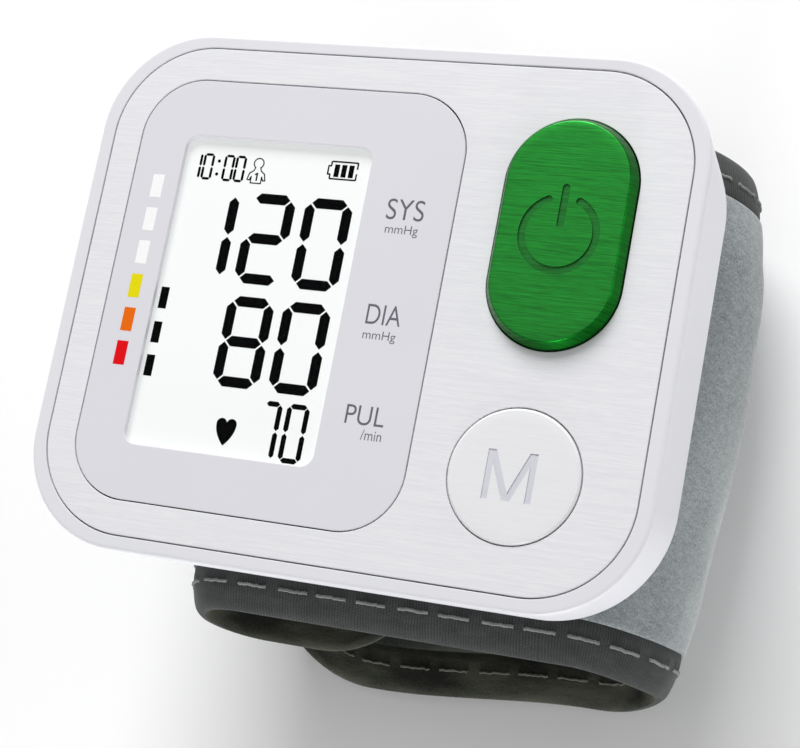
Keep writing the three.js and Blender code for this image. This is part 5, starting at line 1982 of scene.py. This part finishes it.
@dataclass
class Hooks:
    """The small hooks that stand on the flap's hook patch."""

    pitch: float = 1.1
    inset: float = 0.8
    height: float = 0.36
    radius: float = 0.11
    lean: float = 0.3
    sides: int = 5
    head_share: float = 1.6
    head_flat: float = 0.6
    above: float = 10.0
    seed: int = 3

    def __post_init__(self) -> None:
        """Builds the nodes that set a leaning stalk with a round head on each point."""
        self.repeat = tree = Repeat("hook_field", {
            "Height": self.height * MM, "Radius": self.radius * MM, "Lean": self.lean, "Seed": self.seed,
        })
        given = tree.given
        inputs = {"Vertices": self.sides, "Radius": given["Radius"], "Depth": given["Height"]}
        stalk = tree.add("GeometryNodeMeshCylinder", inputs).outputs["Mesh"]
        wide = tree.math("MULTIPLY", given["Radius"], self.head_share)
        ball = tree.add("GeometryNodeMeshIcoSphere", {"Radius": wide, "Subdivisions": 1}).outputs["Mesh"]
        up = tree.add("ShaderNodeCombineXYZ", {"Z": tree.math("MULTIPLY", given["Height"], 0.5)}).outputs[0]
        inputs = {"Geometry": ball, "Translation": up, "Scale": (1, 1, self.head_flat)}
        head = tree.add("GeometryNodeTransform", inputs).outputs[0]
        join = tree.add("GeometryNodeJoinGeometry")
        for part in (stalk, head):
            tree.put(join.inputs[0], part)
        raised = tree.add("GeometryNodeTransform", {"Geometry": join.outputs[0], "Translation": up})
        less = tree.math("MULTIPLY", given["Lean"], -1.0)
        inputs = {2: less, 3: given["Lean"], "Seed": given["Seed"]}
        turn = tree.add("FunctionNodeRandomValue", inputs, data_type="FLOAT").outputs[1]
        tilt = tree.add("ShaderNodeCombineXYZ", {"X": turn}).outputs[0]
        inputs = {"Points": given["Geometry"], "Instance": raised.outputs[0], "Rotation": tilt}
        tree.close(tree.add("GeometryNodeInstanceOnPoints", inputs).outputs[0])

    def make(self) -> Object:
        """Sets the hooks on the patch's upper face, as one piece."""
        patch = frame["nodes"]["hook_patch"]
        surface = BVHTree.FromPolygons(
            [patch.matrix_world @ vertex.co for vertex in patch.data.vertices],
            [face.vertices[:] for face in patch.data.polygons],
        )
        low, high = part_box("hook_patch")
        bm = bmesh.new()
        inset, pitch = self.inset * MM, self.pitch * MM
        for row, x in enumerate(np.arange(low.x + inset, high.x - inset, pitch)):
            for y in np.arange(low.y + inset + pitch / 2 * (row % 2), high.y - inset, pitch):
                place = surface.ray_cast(Vector((x, y, high.z + self.above * MM)), Vector((0, 0, -1)))[0]
                if place is not None:
                    bm.verts.new(place)
        return soften(self.repeat.spread(link("hooks", to_mesh(bm, "hooks"), HOOKS), HOOKS), angle=50)


@dataclass
class Cuff:
    """The cuff's pieces: the upper layer rides on the case, and the lower one stays where it is made."""

    blend_start: float = -28.5
    blend_end: float = -42.4
    upper_fill: float = 0.6
    lower_fill: float = 0.5
    tape_fill: float = 0.3

    def build(self) -> None:
        """Makes the pad, the tape and the stitches of both ends."""
        strip = Strip()
        upper, lower = Pad(strip).make()
        tape, stitches = Tape(strip), Stitches(strip)
        tapes = [tape.make(end) for end in strip.ends]
        threads = [[stitches.sew(end, side) for side in (0, 1)] for end in strip.ends]
        seat(Hooks().make(), Body.STRAP, Slot.HOOKS)
        right = strip.right_x + strip.right_radius
        start = tuple(FACE.world((right, 0, self.blend_start)))
        stop = tuple(FACE.world((right, 0, self.blend_end)))
        seat(upper, Body.CASE, Slot.VELVET, "cuff_sleeve")
        seat(tapes[0], Body.CASE, Slot.TAPE, "cuff_binding")
        for row in threads[0]:
            seat(row, Body.CASE, Slot.TAPE)
        for piece, slot, nodes in (
            (lower, Slot.VELVET, ["cuff_strap"]), (tapes[1], Slot.TAPE, ["strap_binding"]),
            *((row, Slot.TAPE, []) for row in threads[1]),
        ):
            stand_for(piece, slot, *nodes)
            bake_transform(piece)
        fills = [(upper, self.upper_fill), (lower, self.lower_fill)]
        fills += [(tape_piece, self.tape_fill) for tape_piece in tapes]
        log.info("cuff: pad, tape, stitches and hooks")


# Inside


class Insides:
    """The pieces inside the case and the cuff, which keep their solids and get their finishes."""

    finishes = {
        "window_pane": PANE,
        "lcd_panel": LCD_GLASS,
        "lcd_frame": BLACK_PLASTIC,
        "zebra_strip_1": SILICONE,
        "zebra_strip_2": SILICONE,
        "circuit_board": BOARD,
        "power_switch": BLACK_PLASTIC,
        "memory_switch": BLACK_PLASTIC,
        "power_switch_plunger": BLACK_PLASTIC,
        "memory_switch_plunger": BLACK_PLASTIC,
        "battery_1": CELL_JACKET,
        "battery_2": CELL_JACKET,
        "pump_head": BLACK_PLASTIC,
        "release_valve": BLACK_PLASTIC,
        "pressure_sensor": BLACK_PLASTIC,
        "buzzer": BLACK_PLASTIC,
        "air_manifold": SILICONE,
        "hook_patch": HOOKS,
        "cuff_stiffener": BLACK_PLASTIC,
        "bladder": SILICONE,
    }

    def build(self) -> None:
        """Dresses every node that keeps its solid. Metal is the finish of those not listed."""
        for name, node in frame["nodes"].items():
            if node.hide_render:
                continue
            node.data.materials.clear()
            node.data.materials.append(FINISHES.get(self.finishes.get(name, STEEL)))
        log.info("inside: finishes on the nodes that are kept")


# Studio


@dataclass(frozen=True)
class Lamp:
    """One square soft lamp that looks at the object, in metres and watts."""

    name: str
    place: tuple[float, float, float]
    size: float
    power: float
    target: tuple[float, float, float] = (0, 0, 0.02)

    def build(self) -> None:
        """Hangs the lamp."""
        light = bpy.data.lights.new(self.name, "AREA")
        light.size = self.size
        light.energy = self.power
        lamp = placed(self.name, light)
        lamp.location = self.place
        lamp.rotation_euler = (Vector(self.target) - Vector(self.place)).to_track_quat("-Z", "Y").to_euler()


@dataclass
class Studio:
    """The pale floor, soft lights and the camera."""

    lens: float = 91.288
    sensor: float = 36.0
    right: tuple[float, float, float] = (0.928604, 0.184978, -0.32168)
    down: tuple[float, float, float] = (0.108575, -0.964398, -0.241138)
    ahead: tuple[float, float, float] = (-0.354833, 0.188995, -0.915628)
    floor_size: float = 4.0
    cool: tuple[float, float, float, float] = (0.95, 0.95, 0.955, 1)
    warm: tuple[float, float, float, float] = (0.97, 0.97, 0.97, 1)
    sky: float = 0.34
    lift: float = 0.06
    fade: Point = (0.16, 0.6)
    lamps: tuple[Lamp, ...] = (
        Lamp("key", (-0.48, 1.79, 1.32), 1.2, 53.0),
        Lamp("side", (0.95, 0.15, 0.1), 0.18, 1.6),
        Lamp("front", (0.1, -0.95, 0.1), 0.18, 5.6),
    )

    def floor(self) -> None:
        """A pale floor that keeps the object's shadow and fades to white farther out, for the camera only."""
        half = self.floor_size / 2
        mesh = bpy.data.meshes.new("floor")
        corners = [(-half, -half, 0), (half, -half, 0), (half, half, 0), (-half, half, 0)]
        mesh.from_pydata(corners, [], [(0, 1, 2, 3)])
        floor = placed("floor", mesh)
        sheet = Sheet("floor_paint")
        here = sheet.objects()
        grain = sheet.noise(here, scale=9, detail=2)
        tint = sheet.mix(sheet.spread(grain, *NOISE_RANGE), self.cool, self.warm)
        away = sheet.add("ShaderNodeVectorMath", {0: here}, operation="LENGTH").outputs["Value"]
        light = sheet.spread(away, *self.fade, self.lift, 1.0)
        seen = sheet.add("ShaderNodeLightPath").outputs["Is Camera Ray"]
        material = sheet.dress(
            Base_Color=tint, Roughness=0.9, Specular_IOR_Level=0.1, Emission_Color=WHITE,
            Emission_Strength=sheet.math("MULTIPLY", seen, light)
        )
        floor.data.materials.append(material)

    def world(self) -> None:
        """Even white light from all round, seen and mirrored as white."""
        world = bpy.data.worlds.new("studio")
        world.use_nodes = True
        tree = Nodes(world.node_tree)
        rays = tree.add("ShaderNodeLightPath").outputs
        plain = tree.math("MAXIMUM", rays["Is Camera Ray"], rays["Is Glossy Ray"])
        plain = tree.math("MAXIMUM", plain, rays["Is Transmission Ray"])
        strength = tree.add("ShaderNodeMapRange", {"Value": plain, "To Min": self.sky, "To Max": 1.0})
        background = world.node_tree.nodes["Background"].inputs
        tree.put(background["Strength"], strength.outputs["Result"])
        tree.put(background["Color"], WHITE)
        bpy.context.scene.world = world

    def view(self) -> None:
        """The camera, at the photograph's place."""
        data = bpy.data.cameras.new("camera")
        data.sensor_width = self.sensor
        data.lens = self.lens
        data.clip_start = 0.01
        camera = placed("camera", data)
        axes = Matrix((Vector(self.right), -Vector(self.down), -Vector(self.ahead))).transposed()
        camera.matrix_world = Matrix.Translation(Vector(FACE.world(CAMERA))) @ axes.to_4x4()
        bpy.context.scene.camera = camera

    def build(self) -> None:
        """Makes the studio."""
        self.view()
        self.world()
        self.floor()
        for lamp in self.lamps:
            lamp.build()
        bpy.context.scene.view_settings.view_transform = "Standard"
        log.info("studio: floor, lamps and camera")


def main() -> None:
    """Builds the monitor, its studio, and the note of its size."""
    logging.basicConfig(level=logging.INFO, format="%(name)s: %(message)s")
    Studio().build()
    display, buttons = Display(), Buttons()
    Case().build()
    FrontPlate().build(display, buttons)
    display.build()
    buttons.build()
    Cuff().build()
    Insides().build()


if __name__ == "__main__":
    main()
